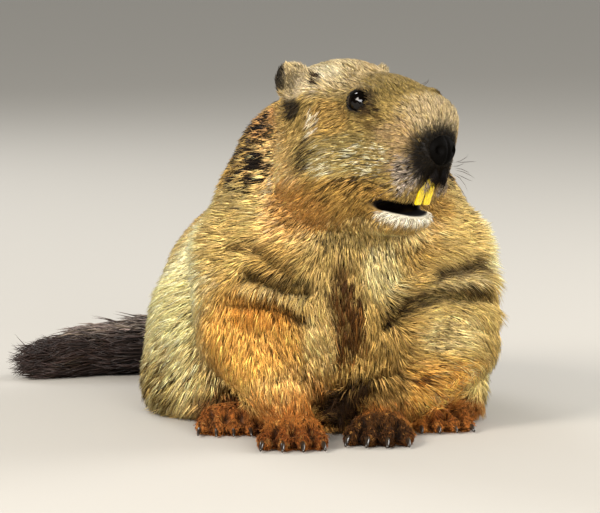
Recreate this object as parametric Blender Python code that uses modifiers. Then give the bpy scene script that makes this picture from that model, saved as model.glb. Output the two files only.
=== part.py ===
"""An alpine marmot sitting up on its forelegs, life size, as a still museum model.

The animal faces -Y, its left side is +X and it rests on Z = 0.  Sizes are written in millimetres
and turned to metres by MM.  Body and head are modelled whole, as soft masses fused into one skin,
and that skin is parted into head, neck, torso and legs by thin cuts.  Paws, feet, ears, eyes, teeth,
claws and tail are made on their own and seated against what they grow from.
"""

import math
import random

import bmesh
import bpy
from mathutils import Euler, Matrix, Vector

MM = 0.001
GAP = 0.3
STILL = Matrix.Identity(4)
SIDES = {"right": -1, "left": 1}

# Voxel sizes and softening of the trunk, of the whole animal, and of its finer pieces
TRUNK_VOXEL = 6.0
TRUNK_SOFTENING = 30
TRUNK_REGAIN = 4.0
BODY_VOXEL = 3.5
BODY_SOFTENING = 12
FINE_VOXEL = 1.6
FINE_SOFTENING = 4
PAW_VOXEL = 1.2
PAW_SOFTENING = 3
LIP_SOFTENING = 3

# Triangles that the fused skins keep
BODY_TRIANGLES = 3500
HEAD_TRIANGLES = 3600
PAW_TRIANGLES = 620
FOOT_TRIANGLES = 620
TAIL_TRIANGLES = 240
EAR_TRIANGLES = 260
REGION_TRIANGLES = 300

# The trunk: centre and half sizes
TRUNK = {
    "brisket": ((2, -60, 74), (56, 42, 58)),
    "chest": ((3, -36, 98), (80, 58, 76)),
    "shoulders": ((1, -20, 122), (75, 62, 64)),
    "ribs": ((3, 32, 86), (81, 84, 81)),
    "belly": ((-1, 78, 64), (94, 84, 76)),
    "rump": ((-5, 126, 54), (89, 62, 60)),
    "neck": ((-2, -36, 158), (58, 50, 46)),
    "hanging belly": ((-8, -42, 20), (30, 34, 25)),
}
THIGH = ((70, 40, 46), (35, 60, 50))
THIGH_SHIFT = -2
# The haunches carry the weight and spread at the floor, the right one further back
HAUNCHES = [((-77, 38, 18), (36, 56, 28)), ((64, -10, 20), (29, 46, 27))]
THIGH_CUT = ((112, 40, 38), (62, 60, 54))

# The head stands in a frame of its own, at the middle of the line between the ears
HEAD_PLACE = (-3, -60, 197)
HEAD_TURN = 35
HEAD_LIFT = 4
HEAD_ROLL = 3
HEAD_MASSES = {
    "cranium": ((0, -4, -14), (42, 44, 38)),
    "brow": ((0, -38, -12), (34, 32, 27)),
    "bridge": ((0, -61, -14), (29, 27, 19)),
    "muzzle": ((0, -52, -33), (29, 32, 27)),
    "snout": ((0, -66, -22), (25, 21.5, 22)),
    "jaw": ((0, -40, -56), (24, 31, 16)),
    "throat": ((0, -12, -56), (36, 40, 26)),
}
HEAD_PAIRS = {
    "cheek": ((26, -16, -42), (24, 36, 33)),
    "orbit": ((20, -47, -11), (14, 21, 16)),
}

# Finer forms of the face
FACE_PAIRS = {
    "lip pad": ((11, -57, -46), (13.5, 15, 15.5)),
    "brow ridge": ((24, -45, 3), (8, 13, 4)),
}
NOSE_PAD = ((0, -84.5, -31), (10, 6.5, 9))
NOSTRIL = ((5.4, -91, -31), (2.4, 5.5, 3.2))
LIP_CLEFT = ((0, -85, -56), (8, 15, 13))
CHIN = ((0, -49, -68.5), (20, 18, 9))
MOUTH_OPENING = ((0, -60, -58.5), (25, 25, 4))
MOUTH_DROP = 11
EYE_PLACE = (27.6, -48, -3)
EYE_RADIUS = 6.6
EYE_LOOK = (0.93, -0.27, 0.22)
LID_RING = (7.4, 1.8)
LID_LENGTH = 1.12
INCISOR_ROOT = (2.7, -77, -43)
INCISOR_TIP = (3.3, -68.5, -62)
INCISOR_HALF_WIDTH = 2.5
EAR_PLACE = (34, 0, 8)
EAR_SIZE = (11.5, 5, 13.5)
EAR_SCOOP = (8, 5, 9.5)
EAR_TURN = 42
EAR_LEAN = 34

# What counts as the head, in its own frame, and the cut between neck and torso
HEAD_REGION = ((0, -42, -14), (66, 80, 64))
HEAD_SPARE = 8
NECK_CUT = ((0, 10, 168), (0, 0.62, -0.785))

# The forelegs: joints from the shoulder down to the wrist, with the radius of the furred limb
FORELEG = {
    "right": [((-56, -34, 104), 34), ((-59, -50, 60), 30), ((-45, -74, 34), 22), ((-37, -86, 18), 16)],
    "left": [((60, -34, 104), 34), ((65, -48, 54), 32), ((42, -66, 32), 23), ((22, -75, 19), 16)],
}
LEG_CUT_MARGIN = 8
FOREPAW = {"right": ((-36, -99), -6), "left": ((18, -90), -12)}
PALM = [((0, 4, 8), (17, 20, 10)), ((0, 14, 12), (14, 13, 12))]
FORE_TOES = 4
FORE_TOE_SPACING = 9.6
FORE_TOE_REACH = (-12, -27)
FORE_TOE_RADII = (5.1, 4.4)
FORE_CLAW = (10.0, 2.5)

# The hind feet lie flat beside the belly, heel under the thigh
HINDFOOT = {"right": ((-64, -26), -4), "left": ((54, -29), 0)}
SOLE = [((0, 20, 7), (14, 36, 10)), ((0, -12, 7), (18, 18, 9))]
HIND_TOES = 5
HIND_TOE_SPACING = 8.3
HIND_TOE_REACH = (-24, -39)
HIND_TOE_RADII = (4.5, 3.9)
HIND_CLAW = (8.5, 2.1)
TOE_SPLAY = 1.15
TOE_ARCH = 3.2
CLAW_DROP = 0.32

# The tail lies on the floor and bends round to the animal's right
TAIL_PATH = [((-16, 168, 26), 17), ((-48, 193, 22), 20), ((-84, 206, 20), 19.5), ((-120, 206, 17), 17)]
TAIL_TIP = ((-156, 197, 12), 11)

# The tail's hair: a core half as thick as the whole, and flat locks rooted in it that reach the tips
TAIL_CORE = 0.5
TAIL_RINGS = 6
LOCKS_IN_RING = 5
END_LOCKS = 5
LOCK_LENGTH = 42
LOCK_WIDTH = 22
LOCK_THICKNESS = 5
LOCK_SINK = 3
LOCK_SIDES = 3
LOCK_SEED = 7

# Colour and roughness of each kind of node
FINISHES = {
    "head": ((0.42, 0.31, 0.17), 0.85),
    "neck": ((0.36, 0.25, 0.13), 0.85),
    "torso": ((0.50, 0.38, 0.20), 0.85),
    "tail": ((0.10, 0.06, 0.03), 0.85),
    "ear": ((0.30, 0.22, 0.14), 0.85),
    "foreleg": ((0.50, 0.27, 0.10), 0.85),
    "hindleg": ((0.52, 0.36, 0.16), 0.85),
    "forepaw": ((0.34, 0.18, 0.08), 0.8),
    "hindfoot": ((0.34, 0.18, 0.08), 0.8),
    "eye": ((0.012, 0.009, 0.007), 0.08),
    "incisor": ((0.80, 0.62, 0.10), 0.3),
    "claw": ((0.03, 0.022, 0.018), 0.4),
}


def millimetres(values):
    """A vector in metres from sizes in millimetres."""
    return Vector(values) * MM


def mirrored(place, side):
    """A place given for the left side, moved to the side asked for."""
    return (place[0] * side, *place[1:])


def new_object(name, mesh):
    obj = bpy.data.objects.new(name, mesh)
    bpy.context.scene.collection.objects.link(obj)
    return obj


def object_from(work, name):
    """A new object from a bmesh, which is freed."""
    mesh = bpy.data.meshes.new(name)
    work.to_mesh(mesh)
    work.free()
    return new_object(name, mesh)


def blob(centre, half_sizes, frame=STILL, turn=(0, 0, 0), detail=4):
    """An ellipsoid, turned by angles in degrees about its own centre."""
    work = bmesh.new()
    place = Matrix.Translation(millimetres(centre))
    spin = Euler([math.radians(angle) for angle in turn]).to_matrix().to_4x4()
    size = Matrix.Diagonal((*millimetres(half_sizes), 1))
    bmesh.ops.create_icosphere(work, subdivisions=detail, radius=1, matrix=frame @ place @ spin @ size)
    return object_from(work, "blob")


def limb(joints, frame=STILL, sides=24):
    """A furred limb: a ball at each joint and a tapered tube between each two."""
    made = [blob(place, (radius,) * 3, frame) for place, radius in joints]
    for (start, start_radius), (end, end_radius) in zip(joints, joints[1:]):
        a = millimetres(start)
        b = millimetres(end)
        spin = (b - a).to_track_quat("Z", "Y").to_matrix().to_4x4()
        work = bmesh.new()
        bmesh.ops.create_cone(
            work,
            cap_ends=True,
            segments=sides,
            radius1=start_radius * MM,
            radius2=end_radius * MM,
            depth=(b - a).length,
            matrix=frame @ Matrix.Translation((a + b) / 2) @ spin,
        )
        made.append(object_from(work, "limb"))
    return made


def bake_modifiers(obj):
    """The object with its modifiers applied to its mesh."""
    graph = bpy.context.evaluated_depsgraph_get()
    mesh = bpy.data.meshes.new_from_object(obj.evaluated_get(graph))
    obj.modifiers.clear()
    obj.data = mesh
    return obj


def largest_body(obj):
    """The object with only the largest of its closed surfaces kept."""
    work = bmesh.new()
    work.from_mesh(obj.data)
    bmesh.ops.remove_doubles(work, verts=work.verts, dist=0.001 * MM)
    waiting = set(work.faces)
    bodies = []
    while waiting:
        front = [waiting.pop()]
        body = set(front)
        while front:
            near = {f for edge in front.pop().edges for f in edge.link_faces} & waiting
            waiting -= near
            body |= near
            front += near
        bodies.append(body)
    kept = max(bodies, key=lambda body: sum(face.calc_area() for face in body))
    loose = [face for face in work.faces if face not in kept]
    bmesh.ops.delete(work, geom=loose, context="FACES")
    work.to_mesh(obj.data)
    work.free()
    return obj


def fuse(name, pieces, voxel, softening, regain=0.0):
    """One closed skin round all the pieces, softened, and swollen by what softening takes off."""
    work = bmesh.new()
    for piece in pieces:
        work.from_mesh(piece.data)
        bpy.data.objects.remove(piece)
    whole = object_from(work, name)
    skin = whole.modifiers.new("skin", "REMESH")
    skin.mode = "VOXEL"
    skin.voxel_size = voxel * MM
    soften = whole.modifiers.new("soften", "SMOOTH")
    soften.factor = 0.5
    soften.iterations = softening
    if regain:
        swell = whole.modifiers.new("swell", "DISPLACE")
        swell.mid_level = 0
        swell.strength = regain * MM
    return largest_body(bake_modifiers(whole))


def thinned(obj, triangles):
    """The object with its mesh brought down to about that many triangles."""
    count = sum(len(face.vertices) - 2 for face in obj.data.polygons)
    fewer = obj.modifiers.new("fewer", "DECIMATE")
    fewer.ratio = min(1.0, triangles / count)
    return largest_body(bake_modifiers(obj))


def copy_of(obj):
    return new_object(obj.name, obj.data.copy())


def grown(obj, reach=GAP):
    """A copy of the object, swollen by a small reach, to seat another piece against."""
    copy = copy_of(obj)
    swell = copy.modifiers.new("swell", "DISPLACE")
    swell.mid_level = 0
    swell.strength = reach * MM
    return bake_modifiers(copy)


def boolean(obj, tool, operation="DIFFERENCE"):
    """The object cut by, kept inside or joined with the tool, which is used up."""
    step = obj.modifiers.new("step", "BOOLEAN")
    step.operation = operation
    step.object = tool
    bake_modifiers(obj)
    bpy.data.objects.remove(tool)
    return largest_body(obj)


def joined(obj, pieces):
    """The object and the pieces rooted in it made one closed body, the pieces used up."""
    group = bpy.data.collections.new("joining")
    for piece in pieces:
        group.objects.link(piece)
    step = obj.modifiers.new("step", "BOOLEAN")
    step.operation = "UNION"
    step.operand_type = "COLLECTION"
    step.collection = group
    bake_modifiers(obj)
    for piece in pieces:
        bpy.data.objects.remove(piece)
    bpy.data.collections.remove(group)
    return largest_body(obj)


def half_space(point, normal, frame=STILL, reach=700):
    """A large block beyond the plane through a point, on the side its normal points to."""
    normal = Vector(normal).normalized()
    spin = normal.to_track_quat("Z", "Y").to_matrix().to_4x4()
    middle = Matrix.Translation(millimetres(point) + normal * reach * MM / 2)
    work = bmesh.new()
    bmesh.ops.create_cube(work, size=reach * MM, matrix=frame @ middle @ spin)
    return object_from(work, "half space")


def moved(point, normal, distance):
    """A point carried along a normal, in millimetres."""
    return Vector(point) + Vector(normal).normalized() * distance


def on_the_floor(obj):
    """The object cut off flat at floor level."""
    return boolean(obj, half_space((0, 0, 0), (0, 0, -1)))


def seated(piece, carriers):
    """The piece cut back to a thin gap from the surfaces that it grows from or lies against."""
    for carrier in carriers:
        piece = boolean(piece, grown(carrier))
    return piece


def head_frame():
    angles = [math.radians(angle) for angle in (-HEAD_LIFT, HEAD_ROLL, HEAD_TURN)]
    return Matrix.Translation(millimetres(HEAD_PLACE)) @ Euler(angles).to_matrix().to_4x4()


def ground_frame(place, heading):
    """A frame on the floor for a paw, with its toes towards -Y before it is turned."""
    return Matrix.Translation(millimetres((*place, 0))) @ Matrix.Rotation(math.radians(heading), 4, "Z")


def pair_of(centre, half_sizes, frame):
    return [blob(mirrored(centre, side), half_sizes, frame) for side in SIDES.values()]


def thigh(side, centre, half_sizes):
    return blob(Vector(mirrored(centre, side)) + Vector((THIGH_SHIFT, 0, 0)), half_sizes)


def whole_body():
    """Trunk, head and legs as one skin."""
    trunk = [blob(*mass) for mass in TRUNK.values()]
    trunk += [thigh(side, *THIGH) for side in SIDES.values()] + [blob(*haunch) for haunch in HAUNCHES]
    pieces = [fuse("trunk", trunk, TRUNK_VOXEL, TRUNK_SOFTENING, TRUNK_REGAIN)]
    head = head_frame()
    pieces += [blob(*mass, head) for mass in HEAD_MASSES.values()]
    for mass in HEAD_PAIRS.values():
        pieces += pair_of(*mass, head)
    for side in SIDES:
        pieces += limb(FORELEG[side])
    return fuse("body", pieces, BODY_VOXEL, BODY_SOFTENING)


def lids(side, frame):
    """A ring of skin round the eye, longer from front to back."""
    look = Vector(mirrored(EYE_LOOK, side)).normalized()
    rim = Vector(mirrored(EYE_PLACE, side)) + look * EYE_RADIUS * 0.55
    spin = look.to_track_quat("Z", "X").to_matrix().to_4x4()
    bpy.ops.mesh.primitive_torus_add(
        major_segments=24,
        minor_segments=10,
        major_radius=LID_RING[0] * MM,
        minor_radius=LID_RING[1] * MM,
    )
    ring = bpy.context.object
    stretch = Matrix.Diagonal((1, LID_LENGTH, 1, 1))
    ring.data.transform(frame @ Matrix.Translation(rim * MM) @ spin @ stretch)
    return ring


def head_region(frame, spare=0):
    """The ellipsoid that parts the head from the neck, with some spare width where asked for."""
    centre, half_sizes = HEAD_REGION
    return thinned(blob(centre, [size + spare for size in half_sizes], frame), REGION_TRIANGLES * 2)


def make_head(body):
    """The head: face details fused on, mouth and nostrils opened, then the eye sockets."""
    frame = head_frame()
    rough = boolean(copy_of(body), head_region(frame, HEAD_SPARE), "INTERSECT")
    pieces = [rough, blob(*NOSE_PAD, frame), blob(*CHIN, frame)]
    for form in FACE_PAIRS.values():
        pieces += pair_of(*form, frame)
    pieces += [lids(side, frame) for side in SIDES.values()]
    head = fuse("head", pieces, FINE_VOXEL, FINE_SOFTENING)
    for opening in pair_of(*NOSTRIL, frame):
        head = boolean(head, opening)
    head = boolean(head, mouth_opening(frame))
    head = boolean(head, blob(*LIP_CLEFT, frame))
    head = fuse("head", [head], FINE_VOXEL, LIP_SOFTENING)
    head = thinned(head, HEAD_TRIANGLES)
    head = boolean(head, head_region(frame), "INTERSECT")
    for side in SIDES.values():
        socket = eyeball(side, frame, GAP)
        head = boolean(head, socket)
    return head


def mouth_opening(frame):
    """The gape: a lens across the muzzle whose middle hangs lower than its corners."""
    opening = blob(*MOUTH_OPENING, detail=4)
    middle = MOUTH_OPENING[0][0] * MM
    half_width = MOUTH_OPENING[1][0] * MM
    for vertex in opening.data.vertices:
        across = (vertex.co.x - middle) / half_width
        vertex.co.z -= MOUTH_DROP * MM * (1 - across ** 2) / 2
    opening.data.transform(frame)
    return opening


def eyeball(side, frame, extra=0.0):
    work = bmesh.new()
    look = Vector(mirrored(EYE_LOOK, side)).to_track_quat("Z", "Y").to_matrix().to_4x4()
    place = Matrix.Translation(millimetres(mirrored(EYE_PLACE, side)))
    bmesh.ops.create_uvsphere(
        work, u_segments=16, v_segments=10, radius=(EYE_RADIUS + extra) * MM, matrix=frame @ place @ look
    )
    return object_from(work, "eye")


def make_ear(side, frame):
    """A small round ear: a thick leaf, scooped out towards the front and the side."""
    lean = (0, EAR_LEAN * side, EAR_TURN * side)
    place = mirrored(EAR_PLACE, side)
    spin = Euler([math.radians(angle) for angle in lean]).to_matrix()
    forward = spin @ Vector((0, -1, 0))
    ear = blob(place, EAR_SIZE, frame, lean)
    scoop = blob(Vector(place) + forward * 4.2, EAR_SCOOP, frame, lean)
    ear = boolean(ear, scoop)
    return thinned(fuse("ear", [ear], 1.0, 2), EAR_TRIANGLES)


def make_incisor(side, frame):
    """An upper front tooth: a flat tapered bar, leaning back to its cutting edge."""
    root = millimetres(mirrored(INCISOR_ROOT, side))
    tip = millimetres(mirrored(INCISOR_TIP, side))
    work = bmesh.new()
    bmesh.ops.create_cube(work, size=1)
    size = Matrix.Diagonal((2 * INCISOR_HALF_WIDTH * MM, 3.2 * MM, (tip - root).length, 1))
    spin = (root - tip).to_track_quat("Z", "Y").to_matrix().to_4x4()
    work.transform(size)
    bmesh.ops.bevel(
        work, geom=work.edges[:], offset=0.9 * MM, segments=2, profile=0.5, affect="EDGES", material=-1
    )
    for vertex in work.verts:
        if vertex.co.z < 0:
            vertex.co.y *= 0.55
    work.transform(frame @ Matrix.Translation((root + tip) / 2) @ spin)
    return object_from(work, "incisor")


def toe_places(count, spacing, reach, radii):
    """Where each toe starts and ends in its paw's frame, as high as it is thick; the middle ones reach further."""
    places = []
    for number in range(count):
        offset = number - (count - 1) / 2
        middle = 1 - (2 * offset / (count - 1)) ** 2
        start = (offset * spacing, reach[0], radii[0])
        end = (offset * spacing * TOE_SPLAY, reach[1] - TOE_ARCH * middle, radii[1])
        places.append((start, end))
    return places


def make_paw(pads, toes, frame, stub, triangles):
    """A paw or foot: pads and toes fused to a stub of the limb, flat underneath."""
    pieces = [blob(*pad, frame) for pad in pads] + stub
    for start, end in toes:
        pieces += limb([(start, start[2]), (end, end[2])], frame, 12)
    paw = fuse("paw", pieces, PAW_VOXEL, PAW_SOFTENING)
    return on_the_floor(thinned(paw, triangles))


def make_claw(toe, frame, length, radius):
    """A tapered claw that leaves the toe's end forwards and curves down to the floor."""
    start, end = (Vector(place) for place in toe)
    forward = (end - start).normalized()
    forward.z = 0
    root = end + forward * (end.z - 3.0)
    work = bmesh.new()
    bmesh.ops.create_cone(
        work, cap_ends=True, segments=6, radius1=radius, radius2=0.35, depth=length + 3
    )
    long_edges = [edge for edge in work.edges if abs(edge.verts[0].co.z - edge.verts[1].co.z) > 1]
    bmesh.ops.subdivide_edges(work, edges=long_edges, cuts=2)
    for vertex in work.verts:
        along = vertex.co.z / (length + 3) + 0.5
        vertex.co.x *= 0.8
        vertex.co.y -= CLAW_DROP * length * along ** 2
    spin = forward.to_track_quat("Z", "Y").to_matrix().to_4x4()
    middle = Matrix.Translation((root + forward * length / 2) * MM)
    work.transform(frame @ middle @ spin @ Matrix.Diagonal((MM, MM, MM, 1)))
    bmesh.ops.recalc_face_normals(work, faces=work.faces)
    return object_from(work, "claw")


def tail_station(along):
    """The tail's middle line, its direction and its outline's radius, from root 0 to tip 1."""
    joints = TAIL_PATH + [TAIL_TIP]
    step = min(int(along * (len(joints) - 1)), len(joints) - 2)
    share = along * (len(joints) - 1) - step
    (start, start_radius), (end, end_radius) = joints[step:step + 2]
    start = Vector(start)
    end = Vector(end)
    radius = start_radius + (end_radius - start_radius) * share
    return start.lerp(end, share), (end - start).normalized(), radius


def lock(root, lie, out, length, width, rise):
    """A flat lock of hair: it leaves its root outwards, bends back along its lie and tapers to a tip."""
    work = bmesh.new()
    bmesh.ops.create_cone(work, cap_ends=True, segments=LOCK_SIDES, radius1=1, radius2=1, depth=1)
    long_edges = [edge for edge in work.edges if abs(edge.verts[0].co.z - edge.verts[1].co.z) > 0.5]
    bmesh.ops.subdivide_edges(work, edges=long_edges, cuts=2)
    across = lie.cross(out).normalized()
    for vertex in work.verts:
        along = vertex.co.z + 0.5
        taper = (1.02 - along) ** 0.6
        middle = root + lie * length * along + out * rise * (1 - (1 - along) ** 2)
        wide = across * vertex.co.x * taper * width / 2
        thick = out * vertex.co.y * taper * LOCK_THICKNESS / 2
        vertex.co = (middle + wide + thick) * MM
    bmesh.ops.recalc_face_normals(work, faces=work.faces)
    return object_from(work, "lock")


def tail_locks():
    """Rings of locks down the tail, each ring turned half a lock from the last, and a tuft at its end."""
    draw = random.Random(LOCK_SEED)
    locks = []
    for ring in range(TAIL_RINGS + 1):
        middle, lie, radius = tail_station(0.04 + 0.92 * ring / TAIL_RINGS)
        count = LOCKS_IN_RING if ring < TAIL_RINGS else END_LOCKS
        side = lie.cross(Vector((0, 0, 1))).normalized()
        up = side.cross(lie)
        for number in range(count):
            angle = 2 * math.pi * (number + (ring % 2) / 2 + draw.uniform(-0.12, 0.12)) / count
            out = side * math.cos(angle) + up * math.sin(angle)
            root = middle + out * (radius * TAIL_CORE - LOCK_SINK)
            rise = radius * (1 - TAIL_CORE) * draw.uniform(0.85, 1.0)
            length = LOCK_LENGTH * draw.uniform(0.85, 1.1)
            locks.append(lock(root, lie, out, length, LOCK_WIDTH * draw.uniform(0.9, 1.1), rise))
    return locks


def make_tail():
    """The tail: a furred core with its locks joined on, lying on the floor."""
    core = [(place, radius * TAIL_CORE) for place, radius in TAIL_PATH + [TAIL_TIP]]
    tail = thinned(fuse("tail", limb(core), 2.5, 6), TAIL_TRIANGLES)
    return on_the_floor(joined(tail, tail_locks()))


def material(name, colour, roughness):
    made = bpy.data.materials.new(name)
    made.use_nodes = True
    shader = made.node_tree.nodes["Principled BSDF"]
    shader.inputs["Base Color"].default_value = (*colour, 1)
    shader.inputs["Roughness"].default_value = roughness
    return made


def finish(obj, name, collection, colour, roughness):
    """The node's name, its collection, its own material and smooth shading."""
    obj.name = name
    obj.data.name = name
    obj.data.materials.clear()
    obj.data.materials.append(material(name, colour, roughness))
    obj.data.shade_smooth()
    for holder in obj.users_collection:
        holder.objects.unlink(obj)
    collection.objects.link(obj)


def settle(nodes):
    """The whole animal moved so that the middle of its box stands on the origin."""
    corners = [vertex.co for obj in nodes.values() for vertex in obj.data.vertices]
    middle = [(min(c[axis] for c in corners) + max(c[axis] for c in corners)) / 2 for axis in (0, 1)]
    for obj in nodes.values():
        obj.data.transform(Matrix.Translation((-middle[0], -middle[1], 0)))
    print("moved by", [round(-value / MM, 2) for value in middle])


def build():
    """Every node by its name."""
    nodes = {}
    head = head_frame()
    body = whole_body()
    nodes["head"] = make_head(body)
    rest = on_the_floor(thinned(body, BODY_TRIANGLES))
    region = head_region(head)
    rest = boolean(rest, grown(region))
    bpy.data.objects.remove(region)

    for side in SIDES:
        joints = [(place, radius + LEG_CUT_MARGIN) for place, radius in FORELEG[side]]
        nodes[f"foreleg_{side}"], rest = parted(rest, limb(joints))
    for side, sign in SIDES.items():
        nodes[f"hindleg_{side}"], rest = parted(rest, [thigh(sign, *THIGH_CUT)])

    cut_point, cut_normal = NECK_CUT
    nodes["neck"] = boolean(copy_of(rest), half_space(cut_point, cut_normal))
    torso = boolean(rest, half_space(moved(cut_point, cut_normal, GAP), -Vector(cut_normal)))
    nodes["torso"] = torso
    nodes["tail"] = seated(make_tail(), [torso])

    for side, sign in SIDES.items():
        nodes[f"ear_{side}"] = seated(make_ear(sign, head), [nodes["head"]])
        nodes[f"eye_{side}"] = eyeball(sign, head)
        nodes[f"incisor_{side}"] = seated(make_incisor(sign, head), [nodes["head"]])
        add_forepaw(side, nodes)
        add_hindfoot(side, nodes)
    settle(nodes)
    return nodes


def add_forepaw(side, nodes):
    """The forepaw, cut from its leg across the wrist, and its claws."""
    leg = f"foreleg_{side}"
    frame = ground_frame(*FOREPAW[side])
    (upper, _), (wrist, _) = FORELEG[side][-2:]
    along = Vector(upper) - Vector(wrist)
    toes = toe_places(FORE_TOES, FORE_TOE_SPACING, FORE_TOE_REACH, FORE_TOE_RADII)
    stub = fuse("stub", limb(FORELEG[side][-2:]), BODY_VOXEL, BODY_SOFTENING)
    paw = make_paw(PALM, toes, frame, [stub], PAW_TRIANGLES)
    nodes[leg] = boolean(nodes[leg], half_space(moved(wrist, along, -GAP), -along))
    paw = boolean(paw, half_space(wrist, along))
    paw = seated(paw, [nodes[leg], nodes["torso"]])
    nodes[f"forepaw_{side}"] = paw
    add_claws(f"claw_fore_{side}", toes, frame, FORE_CLAW, paw, nodes)


def add_hindfoot(side, nodes):
    """The hind foot, which lies on the floor under its thigh, and its claws."""
    frame = ground_frame(*HINDFOOT[side])
    toes = toe_places(HIND_TOES, HIND_TOE_SPACING, HIND_TOE_REACH, HIND_TOE_RADII)
    foot = make_paw(SOLE, toes, frame, [], FOOT_TRIANGLES)
    neighbours = [nodes[name] for name in (f"hindleg_{side}", "torso", f"foreleg_{side}", f"forepaw_{side}")]
    foot = seated(foot, neighbours)
    nodes[f"hindfoot_{side}"] = foot
    add_claws(f"claw_hind_{side}", toes, frame, HIND_CLAW, foot, nodes)


def add_claws(name, toes, frame, size, paw, nodes):
    """One claw on the end of each toe."""
    for number, toe in enumerate(toes, 1):
        nodes[f"{name}_{number}"] = seated(make_claw(toe, frame, *size), [paw])


def parted(body, region_pieces):
    """What lies inside a region, and the rest of the body a thin gap away from it."""
    region = thinned(fuse("region", region_pieces, BODY_VOXEL, BODY_SOFTENING), REGION_TRIANGLES)
    inside = boolean(copy_of(body), copy_of(region), "INTERSECT")
    outside = boolean(body, grown(region))
    bpy.data.objects.remove(region)
    return inside, outside


def main():
    for obj in list(bpy.data.objects):
        bpy.data.objects.remove(obj)
    collection = bpy.data.collections.new("alpine_marmot")
    bpy.context.scene.collection.children.link(collection)
    for name, obj in build().items():
        finish(obj, name, collection, *FINISHES[name.split("_")[0]])


main()
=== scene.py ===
# %% [markdown]
# An alpine marmot sits up on its forelegs, life size, as a still museum model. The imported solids
# give its true size and pose. This lesson dresses them: one skin under the coat, a coat of many
# thousands of small closed tufts, and the hard pieces that stay apart, such as eyes, teeth and
# claws. The solids are loaded first, because every piece here is placed by them.

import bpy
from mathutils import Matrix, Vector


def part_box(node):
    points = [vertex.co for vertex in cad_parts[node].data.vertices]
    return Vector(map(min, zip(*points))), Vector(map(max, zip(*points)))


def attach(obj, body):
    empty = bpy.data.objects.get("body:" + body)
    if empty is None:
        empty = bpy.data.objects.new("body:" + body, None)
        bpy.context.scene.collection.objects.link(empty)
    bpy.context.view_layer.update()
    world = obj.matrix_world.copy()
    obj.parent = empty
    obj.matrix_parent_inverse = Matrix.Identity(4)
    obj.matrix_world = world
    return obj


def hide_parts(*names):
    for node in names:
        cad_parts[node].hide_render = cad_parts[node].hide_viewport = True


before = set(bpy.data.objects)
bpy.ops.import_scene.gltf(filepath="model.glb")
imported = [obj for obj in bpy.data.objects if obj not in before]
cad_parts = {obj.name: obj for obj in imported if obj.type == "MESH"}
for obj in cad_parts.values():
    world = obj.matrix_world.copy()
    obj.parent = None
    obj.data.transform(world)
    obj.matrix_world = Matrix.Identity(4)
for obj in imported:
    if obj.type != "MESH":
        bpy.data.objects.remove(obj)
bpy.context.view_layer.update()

import math

import bmesh
import bpy
import numpy as np
from mathutils import Euler, Matrix, Vector
from mathutils.kdtree import KDTree

MM = 0.001
SEED = 41
chance = np.random.default_rng(SEED)

# %% [markdown]
# Places on the head are easiest to say in the head's own frame: its origin is midway between the
# ears, -Y runs forward and +X is the animal's left. Places on the body are said in the frame that
# the solids were modelled in, before the whole was moved to the middle of its box. The two
# eyeballs tell how far that move was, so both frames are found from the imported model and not
# copied.

# %% The frames of the head and of the body
HEAD_PLACE = Vector((-3, -60, 197))
HEAD_ANGLES = (-4, 3, 35)
EYE_PLACE = Vector((27.6, -48, -3))
EYE_LOOK = Vector((0.93, -0.27, 0.22))
EYE_RADIUS = 6.6

head_turn = Euler([math.radians(angle) for angle in HEAD_ANGLES]).to_matrix()
eyes = [sum(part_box(name), Vector()) / 2 for name in ("eye_right", "eye_left")]
between_eyes = Vector((0, EYE_PLACE.y, EYE_PLACE.z))
head_origin = (eyes[0] + eyes[1]) / 2 - head_turn @ between_eyes * MM
body_origin = head_origin - HEAD_PLACE * MM
HEAD_AXES = np.array(head_turn)


def in_head(points):
    """Points in millimetres in the head's frame."""
    return (points - np.array(head_origin)) @ HEAD_AXES / MM


def in_body(points):
    """Points in millimetres in the body's frame."""
    return (points - np.array(body_origin)) / MM


def from_body(place):
    """A place in the body's frame in the world's metres."""
    return body_origin + Vector(place) * MM


def mirrored(place, side):
    """A place or a way on the side that it is given for (1), or on the other side (-1)."""
    return Vector((place[0] * side, place[1], place[2]))


print("the body's frame stands at", [round(v / MM, 2) for v in body_origin])

# %% [markdown]
# A camera comes next, because everything is judged through it. The picture looks at the animal
# from a little above its feet and a little to its right, with a long lens: near and far parts keep
# nearly the same scale. One known point of the floor, under the chest, is put at its place in a
# 600 by 513 picture, and the lens follows from the scale there.

# %% The camera
PICTURE = (600, 513)
CAMERA_AZIMUTH = -7
CAMERA_HEIGHT_ANGLE = 6
CAMERA_DISTANCE = 2.2
PIXELS_PER_METRE = 1680
AIM_PLACE = (0, -50, 0)
AIM_PIXEL = (342, 429)

azimuth = math.radians(CAMERA_AZIMUTH)
height_angle = math.radians(CAMERA_HEIGHT_ANGLE)


def placed(name, data):
    """A new object in the scene."""
    made = bpy.data.objects.new(name, data)
    bpy.context.scene.collection.objects.link(made)
    return made


back = Vector((
    math.sin(azimuth) * math.cos(height_angle),
    -math.cos(azimuth) * math.cos(height_angle),
    math.sin(height_angle),
))
right = Vector((math.cos(azimuth), math.sin(azimuth), 0))
up = back.cross(right)
target = (
    from_body(AIM_PLACE)
    + right * (PICTURE[0] / 2 - AIM_PIXEL[0]) / PIXELS_PER_METRE
    - up * (PICTURE[1] / 2 - AIM_PIXEL[1]) / PIXELS_PER_METRE
)
lens = bpy.data.cameras.new("camera")
lens.sensor_fit = "HORIZONTAL"
lens.sensor_width = 36
lens.lens = lens.sensor_width * CAMERA_DISTANCE * PIXELS_PER_METRE / PICTURE[0]
lens.clip_start = 0.05
camera = placed("camera", lens)
camera.location = target + back * CAMERA_DISTANCE
camera.rotation_mode = "QUATERNION"
camera.rotation_quaternion = back.to_track_quat("Z", "Y")
bpy.context.scene.camera = camera
print("camera lens", round(lens.lens, 1), "mm at", [round(v, 3) for v in camera.location])

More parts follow.
